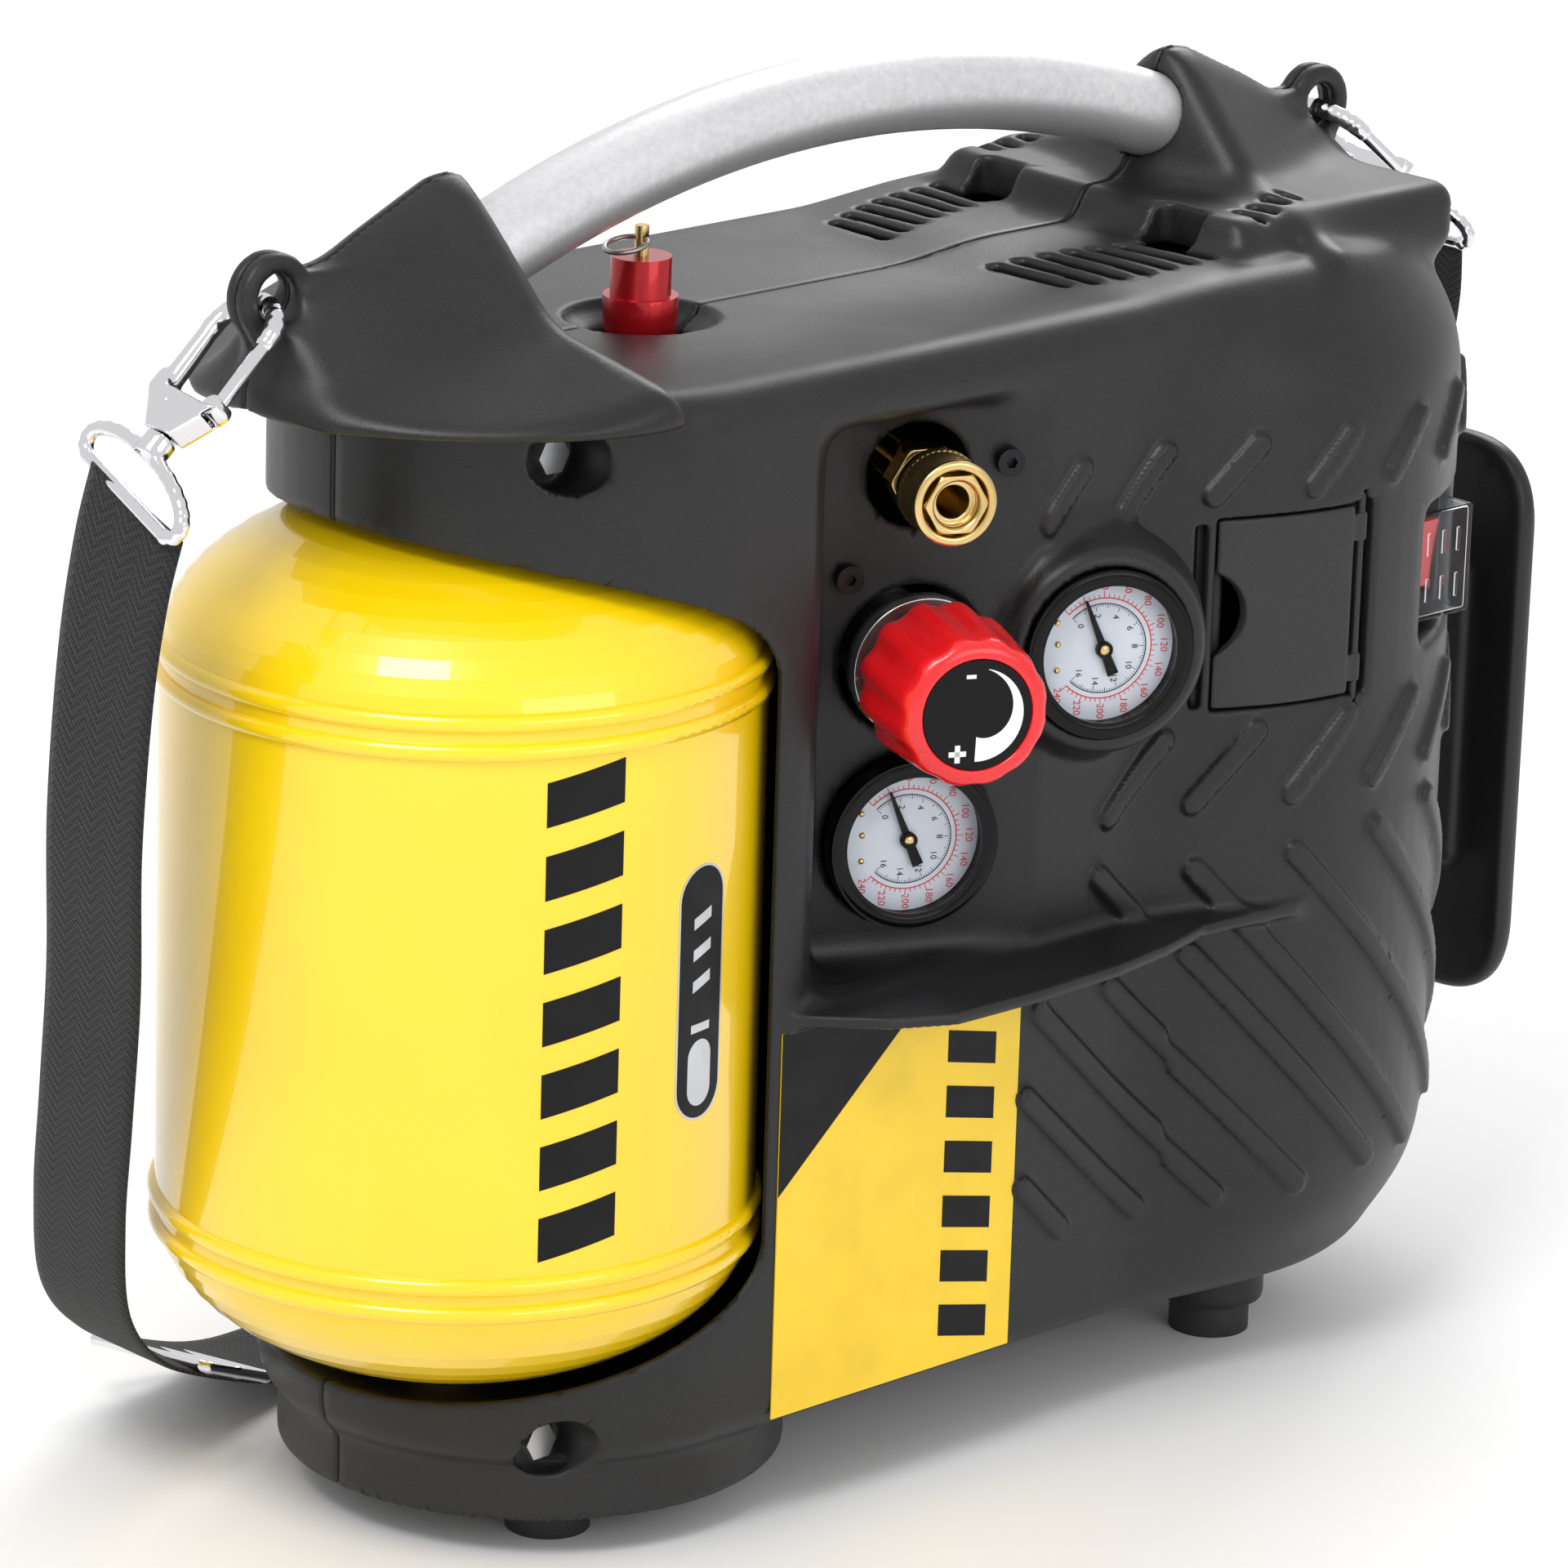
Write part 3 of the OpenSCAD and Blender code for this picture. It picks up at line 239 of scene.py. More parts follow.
BLACK = (0.0095, 0.0095, 0.0102)
FINISH = {
    "enamel": enamel(),
    "plastic": moulded("black_moulding", BLACK, 0.40, 0.055, specular_ior_level=0.38),
    "door_plastic": moulded("door_moulding", (0.015, 0.015, 0.016), 0.42, 0.03, specular_ior_level=0.42),
    "tube": anodised_tube(),
    "red": moulded("red_moulding", (0.66, 0.006, 0.010), 0.26, 0.012, coat_weight=0.4, coat_roughness=0.12),
    "brass": knurled_brass(),
    "chrome": machined("polished_chrome", (0.80, 0.80, 0.82), 0.09, scale=260, depth=0.02),
    "zinc": machined("zinc_plate", (0.60, 0.61, 0.62), 0.3, scale=500),
    "steel": machined("ground_steel", (0.42, 0.42, 0.43), 0.38, scale=400),
    "casting": machined("cast_aluminium", (0.58, 0.58, 0.59), 0.5, scale=700, depth=0.08),
    "copper": machined("copper_pipe", (0.72, 0.36, 0.20), 0.28, scale=300),
    "anodised_red": Finish("anodised_red", (0.52, 0.008, 0.014), 0.26, 0.55, coat_weight=0.3),
    "black_gloss": Finish("black_gloss", (0.002, 0.002, 0.0025), 0.1, specular_ior_level=0.2),
    "black_steel": machined("black_oxide", (0.030, 0.030, 0.032), 0.34, scale=500),
    "rubber": moulded("rubber", (0.016, 0.016, 0.016), 0.66, 0.06),
    "ink": Finish("black_ink", (0.004, 0.004, 0.005), 0.42, specular_ior_level=0.22),
    "red_ink": Finish("red_ink", (0.70, 0.05, 0.06), 0.5),
    "film": Finish("label_film", (0.94, 0.62, 0.0), 0.34, coat_weight=0.5, coat_roughness=0.15),
    "silver_film": Finish("silver_film", (0.62, 0.63, 0.65), 0.3, 0.8),
    "card": Finish("dial_card", (0.70, 0.76, 0.85), 0.55),
    "white_ink": Finish("white_ink", (0.84, 0.84, 0.84), 0.42),
    "lens": Finish("clear_lens", (1.0, 1.0, 1.0), 0.02, transmission_weight=1.0, ior=1.03),
    "rocker": Finish("red_rocker", (0.72, 0.012, 0.012), 0.2, coat_weight=0.6),
    "clear": Finish("clear_cover", (0.96, 0.97, 0.99), 0.12, transmission_weight=1.0, ior=1.18),
    "white_plastic": moulded("white_moulding", (0.72, 0.72, 0.70), 0.4, 0.02),
    "webbing": woven(),
}


PLAIN = ("anodised_red", "black_gloss", "ink", "film", "silver_film", "card", "rocker", "red_ink", "white_ink")
SEE_THROUGH = {"lens": (0.01, 0.03), "clear": (0.06, 0.2)}


def make_uneven():
    """Small unevenness for the plain finishes, and for the clear ones between two roughnesses."""
    for name in PLAIN:
        finish = FINISH[name]
        base = finish.shader.inputs["Roughness"].default_value
        finish.vary_roughness(finish.noise(90, 4), base * 0.85, base * 1.25)
        finish.vary_color(finish.noise(35, 4), tuple(c * 0.88 for c in finish.color), 0.45, 0.7)
        finish.bump(finish.noise(700, 2), 0.006)
    for name, (low, high) in SEE_THROUGH.items():
        finish = FINISH[name]
        finish.vary_roughness(finish.noise(60, 4), low, high)


make_uneven()

# ---------- pieces ----------


def add_piece(name, mesh, finish, body=ROOT, replaces=()):
    piece = bpy.data.objects.new(name, mesh)
    bpy.context.scene.collection.objects.link(piece)
    if not mesh.materials:
        mesh.materials.append(FINISH[finish].material)
    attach(piece, body)
    if replaces:
        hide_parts(*replaces)
    return piece


def mesh_of(name, vertices, faces, smooth=True):
    """A mesh from points in millimetres from the tank's axis."""
    mesh = bpy.data.meshes.new(name)
    mesh.from_pydata(to_frame(vertices).tolist(), [], [list(map(int, f)) for f in faces])
    mesh.update()
    if smooth:
        mesh.shade_smooth()
    return mesh


def soften(piece, width_mm):
    """Rounds the edges of a CAD node."""
    weld = piece.modifiers.new("weld", "WELD")
    weld.merge_threshold = 2e-6
    bevel = piece.modifiers.new("edges", "BEVEL")
    bevel.width = width_mm * MM
    bevel.segments = 2
    bevel.limit_method = "ANGLE"
    bevel.angle_limit = math.radians(32)
    bevel.harden_normals = True
    bevel.use_clamp_overlap = True


def dress(finish, *nodes, edge=0.0):
    """Gives CAD nodes their finish, and rounds their edges by edge millimetres."""
    for name in nodes:
        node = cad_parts[name]
        node.data.materials.clear()
        node.data.materials.append(FINISH[finish].material)
        if edge:
            soften(node, edge)


# ---------- solids as distance fields ----------
# A field gives each grid point's distance to a surface in millimetres, negative inside.


class Field:
    """A block of grid points, and the shapes that are measured on it."""

    def __init__(self, low, high, step):
        self.low = np.array(low, float)
        self.step = step
        counts = np.ceil((np.array(high) - self.low) / step).astype(int) + 1
        x, y, z = (np.float32(self.low[k] + step * np.arange(counts[k])) for k in range(3))
        self.x = x[:, None, None]
        self.y = y[None, :, None]
        self.z = z[None, None, :]
        self.shape = tuple(counts)

    def surface(self, solid, adaptivity):
        """The solid's surface as points, faces and normals, the normals from the field itself."""
        solid = np.ascontiguousarray(np.broadcast_to(solid, self.shape), dtype=np.float32)
        limit = 3 * self.step
        grid = openvdb.FloatGrid(limit)
        grid.copyFromArray(np.clip(solid, -limit, limit))
        points, triangles, quads = grid.convertToPolygons(isovalue=0.0, adaptivity=adaptivity)
        slope = [np.gradient(solid, self.step, axis=k) for k in range(3)]

        def normals_at(places):
            normals = np.stack([sample(part, places) for part in slope], 1)
            return normals / np.maximum(np.linalg.norm(normals, axis=1, keepdims=True), 1e-6)

        for _ in range(2):
            shift = np.clip(sample(solid, points), -self.step, self.step)
            points = points - normals_at(points) * (shift / self.step * 0.8)[:, None]
        faces = triangles.tolist() + quads.tolist()
        return self.low + points * self.step, faces, normals_at(points)

    def mesh(self, name, solid, adaptivity, put=None, mirrored=False):
        """The surface as a mesh; put maps the field's own axes to the machine's."""
        points, faces, normals = self.surface(solid, adaptivity)
        if put:
            points, tips = put(points), put(points + normals)
            normals = tips - points
        if mirrored:
            faces = [f[::-1] for f in faces]
        mesh = mesh_of(name, points, faces)
        mesh.normals_split_custom_set_from_vertices(normals.tolist())
        return mesh


def sample(values, points):
    """Values between the grid points, by trilinear interpolation."""
    top = np.array(values.shape) - 1.001
    at = np.clip(points, 0, top)
    base = at.astype(int)
    part = at - base
    total = 0.0
    for corner in range(8):
        offset = np.array([(corner >> k) & 1 for k in range(3)])
        i, j, k = (base + offset).T
        weight = np.prod(np.where(offset, part, 1 - part), axis=1)
        total = total + weight * values[i, j, k]
    return total


def join(a, b, k=0.0):
    """Union, with a fillet of about 0.6 k."""
    if not k:
        return np.minimum(a, b)
    h = np.maximum(k - np.abs(a - b), 0) / k
    return np.minimum(a, b) - h * h * (k / 4)


def common(a, b, k=0.0):
    """Intersection, with its edge rounded to about 0.6 k."""
    if not k:
        return np.maximum(a, b)
    h = np.maximum(k - np.abs(a - b), 0) / k
    return np.maximum(a, b) + h * h * (k / 4)


def cut(a, b, k=0.0):
    return common(a, -b, k)


def between(value, low, high):
    return np.abs(value - (low + high) / 2) - (high - low) / 2


def block(g, low, high, r=0.0):
    """Box with round edges."""
    d = [between(v, a + r, b - r) for v, a, b in zip((g.x, g.y, g.z), low, high)]
    outside = np.sqrt(sum(np.maximum(v, 0) ** 2 for v in d))
    return outside + np.minimum(np.maximum(np.maximum(d[0], d[1]), d[2]), 0) - r


def polygon(u, v, points):
    """Signed distance in a plane to a closed outline."""
    points = np.array(points, np.float32)
    distance = np.full(np.broadcast(u, v).shape, 1e6, np.float32)
    inside = np.zeros(distance.shape, bool)
    for (ax, ay), (bx, by) in zip(points, np.roll(points, -1, axis=0)):
        ex, ey = bx - ax, by - ay
        wx, wy = u - ax, v - ay
        t = np.clip((wx * ex + wy * ey) / (ex * ex + ey * ey), 0, 1)
        distance = np.minimum(distance, (wx - ex * t) ** 2 + (wy - ey * t) ** 2)
        if ay != by:
            inside ^= ((ay > v) != (by > v)) & (u < (bx - ax) * (v - ay) / (by - ay) + ax)
    return np.sqrt(distance) * np.where(inside, -1, 1)


def strip(u, v, a, b, r):
    """Round-ended strip in a plane from a to b, of half width r."""
    ex, ey = b[0] - a[0], b[1] - a[1]
    wx, wy = u - a[0], v - a[1]
    t = np.clip((wx * ex + wy * ey) / (ex * ex + ey * ey + 1e-9), 0, 1)
    return np.hypot(wx - ex * t, wy - ey * t) - r


def plane(x, y, z, normal, offset):
    """Distance beyond a plane, from its normal and its distance from the origin."""
    return normal[0] * x + normal[1] * y + normal[2] * z - offset


# ---------- housing ----------
# Places on the control panel are (along it, up). EAR, SWITCH and the bolts are (x, z), and FEET are (x, y).

HOUSING_STEP = 1.25
SLAB_HALF_W = 78.0
SLAB_X = (30.0, 258.0)
SLAB_Z = (28.0, 333.0)
MOTOR_X = 258.0
BULGE_R = 97.0
MIRROR_X = 130.0
WALL = 3.0
OUTSIDE_Y = -140
TUBE_R = 12.5
ARCH = (139.0, 26.0, 359.0)
PANEL_AT = (110.0, -63.0)
PANEL_TURN = math.radians(25)
PANEL_ALONG = np.array([math.cos(PANEL_TURN), -math.sin(PANEL_TURN), 0.0])
PANEL_OUT = np.array([-math.sin(PANEL_TURN), -math.cos(PANEL_TURN), 0.0])
OUTLET = (0.0, 293.0)
REGULATOR = (0.0, 240.0)
LOW_GAUGE = (0.0, 188.0)
HIGH_GAUGE = (56.0, 240.0)
SCREWS = ((26.0, 296.0), (-20.0, 265.0))
EAR = (-71.0, 358.0)
FEET = ((5, 36), (262, 46))
BOLTS_FRONT = ((-17, 317), (-14, 35))
BOLTS_REAR = ((150, 38), (165, 318), (335, 60), (335, 290))
DOOR_Z = (212.0, 268.0)
DOOR_ANGLES = (240.0, 267.0)
DOOR_PIN_ANGLE = 269.5
DOOR_PIN_R = BULGE_R - 2.4
STORE = ((214, 246), -62.0)
SWITCH = (305.0, 239.0)
SWITCH_FLOOR_Y = -69.0
RELIEF_X = 62.0
HEAD_R = 9.0
RIB_HALF_W = 3.3
RIB_HEIGHT = 2.3
STRAIGHT_END = 200.0
SLAB_SHIFT = 4.0


def unrolled(x, y):
    """Distance along the housing's side: straight on the slab, then round the motor housing."""
    angle = np.arctan2(-np.abs(y), x - MOTOR_X)
    on_bulge = MOTOR_X + BULGE_R * (angle + math.pi / 2)
    return np.where(x < STRAIGHT_END, x - SLAB_SHIFT, on_bulge)


def x_at(distance):
    """The x of a place at a distance along the housing's side."""
    if distance <= STRAIGHT_END - SLAB_SHIFT:
        return distance + SLAB_SHIFT
    angle = min(max((distance - MOTOR_X) / BULGE_R, -math.pi / 2), math.pi / 2)
    return MOTOR_X + BULGE_R * math.sin(angle)


def rib_lines():
    """Raised ribs as pairs of (distance along the side, height): two slanting rows and a fan of long ones."""
    pitch = 31.5
    upper = [((142 + pitch * i, 276), (155 + pitch * i, 290)) for i in range(8)]
    middle = [((171 + pitch * i, 185), (190 + pitch * i, 205)) for i in range(7)]
    lower = [((168, 168), (182, 154)), ((204, 165), (296, 66)), ((236, 167), (326, 72)),
             ((268, 169), (352, 82)), ((300, 171), (376, 94)), ((203, 140), (272, 66)),
             ((174, 134), (243, 64)), ((146, 132), (215, 64)), ((142, 107), (187, 64)),
             ((142, 80), (158, 64))]
    return upper + middle + lower


def add_ribs(g, body, outer):
    """Ribs follow the side's curve: the surface raised inside each rib's footprint."""
    reach = 9.0

    def grid_slice(line, ends):
        return slice(*np.searchsorted(line.ravel(), (min(ends) - reach, max(ends) + reach)))

    s = unrolled(g.x, g.y)
    for a, b in rib_lines():
        i = grid_slice(g.x, (x_at(a[0]), x_at(b[0])))
        k = grid_slice(g.z, (a[1], b[1]))
        foot = strip(s[i], g.z[:, :, k], a, b, RIB_HALF_W)
        foot = np.maximum(foot, 30 - np.abs(g.y))
        raised = common(outer[i, :, k] - RIB_HEIGHT, foot, 1.2)
        body[i, :, k] = join(body[i, :, k], raised, 1.6)
    return body


def holder(g, x):
    """Handle holder with its skirt and strap ear, for the tank end when x is plain."""
    y = np.abs(g.y)
    roof = plane(x, y, g.z, (-0.284, 0.310, 0.907), 330.9)
    front = plane(x, y, g.z, (0.85, 0.0, 0.52), 177.8)
    skirt = common(common(np.hypot(x - 3, g.y) - 82, roof, 7), front, 6)
    skirt = common(skirt, 326.5 - g.z, 3)
    profile = [(-74, 327), (-74, 350), (-62, 361), (-40, 373), (-15, 384), (-4, 384), (14, 350), (16, 322)]
    nose = plane(x, y, g.z, (0.9, 0.27, 0.32), 119.2)
    flank = plane(x, y, g.z, (-0.30, 0.665, 0.6385), 251.5)
    ridge = common(common(polygon(x, g.z, profile), nose, 6), flank, 8)
    whole = join(skirt, common(ridge, 320 - g.z), 3)
    plate = strip(x, g.z, EAR, (EAR[0] + 14, EAR[1] - 22), 12)
    plate = join(plate, strip(x, g.z, EAR, (EAR[0] + 24, EAR[1] - 5), 8))
    ear = common(plate, y - 4.5, 2.5)
    whole = join(whole, ear, 5)
    return cut(whole, np.hypot(x - EAR[0], g.z - EAR[1]) - 6.5, 1.5)


def pedestal(g):
    """Raised step round the foot of the motor-end holder."""
    return common(block(g, (232, -62, 325), (330, 62, 346), 7), 232 + (g.y / 26) ** 2 - g.x, 6)


def tank_space(g, gap):
    """Distance to the tank's outline grown by gap."""
    r, h = TANK_R + gap, 45.0 + gap
    beyond = np.maximum(np.maximum(g.z - 249, 88 - g.z), 0)
    rho = np.hypot(g.x, g.y)
    k0 = np.sqrt((rho / r) ** 2 + (beyond / h) ** 2)
    k1 = np.sqrt((rho / r ** 2) ** 2 + (beyond / h ** 2) ** 2)
    return k0 * (k0 - 1) / np.maximum(k1, 1e-5)


def panel_axes(g, at):
    """Coordinates on the control panel: along it, up, and out of it."""
    u = (g.x - PANEL_AT[0]) * PANEL_ALONG[0] + (g.y - PANEL_AT[1]) * PANEL_ALONG[1] - at[0]
    w = (g.x - PANEL_AT[0]) * PANEL_OUT[0] + (g.y - PANEL_AT[1]) * PANEL_OUT[1]
    return u, g.z - at[1], w


def panel_space(g):
    """Space in front of the turned control panel."""
    left, right = 84, 143
    floor = [(x, PANEL_AT[1] - (x - PANEL_AT[0]) * math.tan(PANEL_TURN)) for x in (left, right)]
    outline = [(60, OUTSIDE_Y), (60, -SLAB_HALF_W), *floor, (right, OUTSIDE_Y)]
    return common(polygon(g.x, g.y, outline), between(g.z, 152, 315), 9)


def shelf(g):
    """Shelf under the gauges, with its bracket."""
    outline = [(52, -70), (53, -79), (72, -97), (90, -106), (122, -107), (156, -105), (179, -101),
               (200, -95), (236, -97), (250, -90), (250, -70)]
    plate = common(polygon(g.x, g.y, outline), between(g.z, 148, 152), 1.6)
    bracket = common(polygon(g.y, g.z, [(-70, 150), (-103, 150), (-70, 132)]), between(g.x, 150, 153), 1)
    return join(plate, bracket, 2)


def sector(g, r0, r1, a0, a1, z0, z1, k=0.0):
    """Part of a ring about the motor's axis."""
    rho = np.hypot(g.x - MOTOR_X, g.y)
    middle = math.radians((a0 + a1) / 2)
    ux, uy = math.cos(middle), math.sin(middle)
    along = (g.x - MOTOR_X) * ux + g.y * uy
    across = -(g.x - MOTOR_X) * uy + g.y * ux
    angle = np.arctan2(across, along)
    side = (np.abs(angle) - math.radians(a1 - a0) / 2) * r1
    return common(common(between(rho, r0, r1), side, k), between(g.z, z0, z1), k)


def door_pin(g, r, z0, z1):
    a = math.radians(DOOR_PIN_ANGLE)
    x, y = MOTOR_X + DOOR_PIN_R * math.cos(a), DOOR_PIN_R * math.sin(a)
    return common(np.hypot(g.x - x, g.y - y) - r, between(g.z, z0, z1))


def door_seat(g):
    """Recess for the door with its pin's bearings, and the groove beside its free edge."""
    z0, z1 = DOOR_Z
    a0, a1 = DOOR_ANGLES
    seat = sector(g, BULGE_R - 3.4, BULGE_R + 6, a0 - 0.4, a1 + 1, z0 - 0.5, z1 + 0.5)
    seat = join(seat, sector(g, BULGE_R - 5.4, BULGE_R + 6, a1 - 0.2, DOOR_PIN_ANGLE + 2.2, z0 - 1, z1 + 1))
    seat = join(seat, door_pin(g, 1.5, z0 - 4, z1 + 4))
    guide = sector(g, BULGE_R - 1.5, BULGE_R + 6, a0 - 4.2, a0 - 2.2, z0 + 1, z1 - 1)
    return join(seat, guide)


def store_space(g):
    (x0, x1), back = STORE
    return block(g, (x0, OUTSIDE_Y, DOOR_Z[0] + 3), (x1, back, DOOR_Z[1] - 3), 2)


def switch_space(g):
    x, z = SWITCH
    return block(g, (x - 16, OUTSIDE_Y, z - 21), (x + 60, SWITCH_FLOOR_Y, z + 21), 5)


def arch_space(g):
    """Space of the handle tube, an arc in the machine's middle plane."""
    x, z, radius = ARCH
    return np.hypot(np.hypot(g.x - x, g.z - z) - radius, g.y) - TUBE_R


def bolt_space(g):
    """Recesses for the bolts' heads, shank holes, and pockets for the front bolts' nuts in the back."""
    shank_r, nut_r, inner_end = 3.0, 5.6, 46.0
    space = np.full(g.shape, 1e3, np.float32)
    for bolts, side in ((BOLTS_FRONT, -1), (BOLTS_REAR, 1)):
        for x, z in bolts:
            rho = np.hypot(g.x - x, g.z - z)
            space = join(space, common(rho - HEAD_R, 50 - side * g.y))
            space = join(space, common(rho - shank_r, between(side * g.y, -inner_end, 60)))
            if side < 0:
                space = join(space, common(rho - nut_r, inner_end - g.y))
    return space


def vent_space(g):
    """Cooling slots in the top, between the tank end and the motor-end holder."""
    space = np.full(g.shape, 1e3, np.float32)
    depth = between(g.z, 322, 345)
    for side in (-1, 1):
        for i in range(7):
            x = 178 + 8.2 * i
            inner, outer = 22 + 2.0 * i, 50 + 1.4 * i - 0.35 * (i - 3) ** 2
            slot = strip(g.x, g.y, (x, side * inner), (x + 3, side * outer), 2.1)
            space = join(space, common(slot, depth, 1.2))
        square = block(g, (229, min(side * 28, side * 46), 320), (241, max(side * 28, side * 46), 360), 4)
        space = join(space, square)
        for i in range(4):
            slot = strip(g.x, g.y, (248 + 7 * i, side * (50 - i)), (249 + 7 * i, side * (57 - 2 * i)), 2.0)
            space = join(space, common(slot, between(g.z, 322, 360)))
    return space


def relief_shaft(g, low, depth):
    """Shaft round the relief valve, which widens into a dish of a depth above a height."""
    return np.hypot(g.x - RELIEF_X, g.y) - 15 - 1.6 * np.clip(g.z - low, 0, depth)


def openings(g):
    """Holes for the controls, valves, gland and feet, and for the tank's bosses in the wall beside it."""
    space = common(relief_shaft(g, 327, 4), 318 - g.z, 1.5)
    space = common(space, g.z - 345)
    space = join(space, common(np.hypot(g.x - RELIEF_X, g.y) - 7, 300 - g.z))
    for at, r in ((OUTLET, 15), (REGULATOR, 21.5), (LOW_GAUGE, 24.7), (HIGH_GAUGE, 24.7)):
        u, v, w = panel_axes(g, at)
        space = join(space, common(np.hypot(u, v) - r, between(w, -22, 40)))
    for at in SCREWS:
        u, v, w = panel_axes(g, at)
        space = join(space, common(np.hypot(u, v) - 2, between(w, -10, 10)))
    x, z = SWITCH
    low, high = (x - 11, SWITCH_FLOOR_Y - 3, z - 14.5), (x + 11, SWITCH_FLOOR_Y + 17, z + 14.5)
    space = join(space, block(g, low, high))
    space = join(space, common(np.hypot(g.y, g.z - 56) - 7, 340 - g.x))
    for fx, fy in FEET:
        for side in (-1, 1):
            space = join(space, common(np.hypot(g.x - fx, g.y - side * fy) - 12.2, g.z - 12))
    for z in (150, 214):
        space = join(space, common(np.hypot(g.y, g.z - z) - 14, between(g.x, 80, 112)))
    return join(space, common(np.hypot(g.x, g.y) - 14, g.z - 60))


def outer_shape(g):
    """The slab and the motor housing's drum, solid and without ribs."""
    slab = common(strip(g.x, g.y, (SLAB_X[0], 0), (SLAB_X[1], 0), SLAB_HALF_W), between(g.z, *SLAB_Z), 12)
    drum = common(np.hypot(g.x - MOTOR_X, g.y) - BULGE_R, between(g.z, *SLAB_Z), 46)
    return join(slab, drum, 14)


def inner_space(g, outer, tank):
    """The housing's hollow, a wall's thickness away from its outside and from all that is let into it."""
    inside = outer + WALL
    for keep in (tank, panel_space(g), store_space(g), switch_space(g)):
        inside = common(inside, WALL - keep)
    inside = common(inside, WALL - (relief_shaft(g, 320, 9) + np.maximum(300 - g.z, 0)))
    inside = common(inside, 2 - bolt_space(g))
    angles = (DOOR_ANGLES[0] - 4, DOOR_PIN_ANGLE + 5)
    shield = sector(g, BULGE_R - 9, BULGE_R, *angles, DOOR_Z[0] - 6, DOOR_Z[1] + 6)
    return common(inside, -shield)


def housing(side, low_y, high_y):
    """One moulded half of the housing."""
    g = Field((-90, low_y, 8), (360, high_y, 392), HOUSING_STEP)
    outer = outer_shape(g)
    body = add_ribs(g, outer.copy(), outer)
    body = join(body, holder(g, g.x), 3)
    body = join(body, holder(g, 2 * MIRROR_X - g.x), 3)
    body = join(body, pedestal(g), 8)
    rho = np.hypot(g.x - SLAB_X[0], g.y)
    ring = common(between(rho, SLAB_HALF_W - 9, SLAB_HALF_W - 6), between(g.z, 12, 34))
    body = join(body, ring, 3)
    for x, y in FEET:
        for s in (-1, 1):
            body = join(body, common(np.hypot(g.x - x, g.y - s * y) - 16, between(g.z, 10, 34), 2), 5)
    if side < 0:
        body = cut(body, panel_space(g), 5)
        body = join(body, shelf(g), 4)
        u, v, w = panel_axes(g, HIGH_GAUGE)
        cone = common(np.hypot(u, v) - 28.5 - 0.35 * (8 - w), between(w, -12, 6.5), 4)
        body = join(body, cone, 5)
    tank = tank_space(g, 5)
    body = cut(body, tank, 2.5)
    body = cut(body, inner_space(g, outer, tank))
    if side < 0:
        body = cut(body, store_space(g), 1)
        body = cut(body, switch_space(g), 3)
        body = cut(body, door_seat(g), 0.8)
    body = cut(body, bolt_space(g), 1)
    body = cut(body, vent_space(g), 1.2)
    body = cut(body, openings(g), 1)
    body = cut(body, arch_space(g), 1)
    return g, common(body, 0.1 - side * g.y, 0.5)


def make_housing():
    for name, side, low_y, high_y in (("front_shell", -1, -112, 2), ("rear_shell", 1, -2, 102)):
        g, body = housing(side, low_y, high_y)
        mesh = g.mesh(name, body, 0.02)
        add_piece(name + "_moulding", mesh, "plastic", replaces=(name,))


make_housing()


def make_door():
    """Storage door with its finger notch, its pin and the two lugs that hold it."""
    g = Field((200, -104, 204), (270, -84, 276), 0.55)
    z0, z1 = DOOR_Z
    a0, a1 = DOOR_ANGLES
    plate = sector(g, BULGE_R - 3, BULGE_R, a0, a1, z0, z1, 1.0)
    notch_x = MOTOR_X + BULGE_R * math.cos(math.radians(a0))
    plate = cut(plate, np.hypot(g.x - notch_x + 5, g.z - 240) - 13.5, 0.8)
    lugs = door_pin(g, 1.3, z0 - 3, z1 + 3)
    for z in (z0 + 3, z1 - 11):
        lugs = join(lugs, door_pin(g, 2, z, z + 8), 0.6)
        lugs = join(lugs, sector(g, BULGE_R - 2.8, BULGE_R - 1, a1 - 0.5, DOOR_PIN_ANGLE, z, z + 8), 0.6)
    mesh = g.mesh("door", join(plate, lugs, 0.8), 0.01)
    add_piece("storage_door_panel", mesh, "door_plastic", "door", ("storage_door",))


make_door()


def make_winder():
    """Cord winder: a plate with round corners on a hollow neck."""
    g = Field((334, -44, 68), (402, 44, 254), 1.0)
    flat = between(g.y, -40, 40)
    plate = common(common(flat, between(g.z, 72, 250), 26), between(g.x, 391, 399), 3.5)
    neck = block(g, (330, -20, 115), (395, 20, 210), 3)
    neck = cut(neck, block(g, (330, -17, 118), (388, 17, 207), 2))
    body = cut(join(plate, neck, 5), np.hypot(g.x - MOTOR_X, g.y) - BULGE_R)
    mesh = g.mesh("winder", body, 0.02)
    add_piece("cord_winder_moulding", mesh, "plastic", replaces=("cord_winder",))


make_winder()

# ---------- controls ----------

BEZEL_R = 24.5
BEZEL_OUT = 8.2
SCALE_START = 135.0
SCALE_SWEEP = 270.0
DIAL_OUT = 0.82
INK_THICK = 0.08


def on_panel(at, points):
    """Points given as (along the panel, up, out of it) about a place on the control panel."""
    points = np.asarray(points, float)
    origin = np.array([*PANEL_AT, 0.0]) + at[0] * PANEL_ALONG + np.array([0, 0, at[1]])
    return (origin + points[:, :1] * PANEL_ALONG + points[:, 1:2] * np.array([0, 0, 1.0])
            + points[:, 2:] * PANEL_OUT)


def polar(r, angle):
    return r * math.cos(math.radians(angle)), r * math.sin(math.radians(angle))


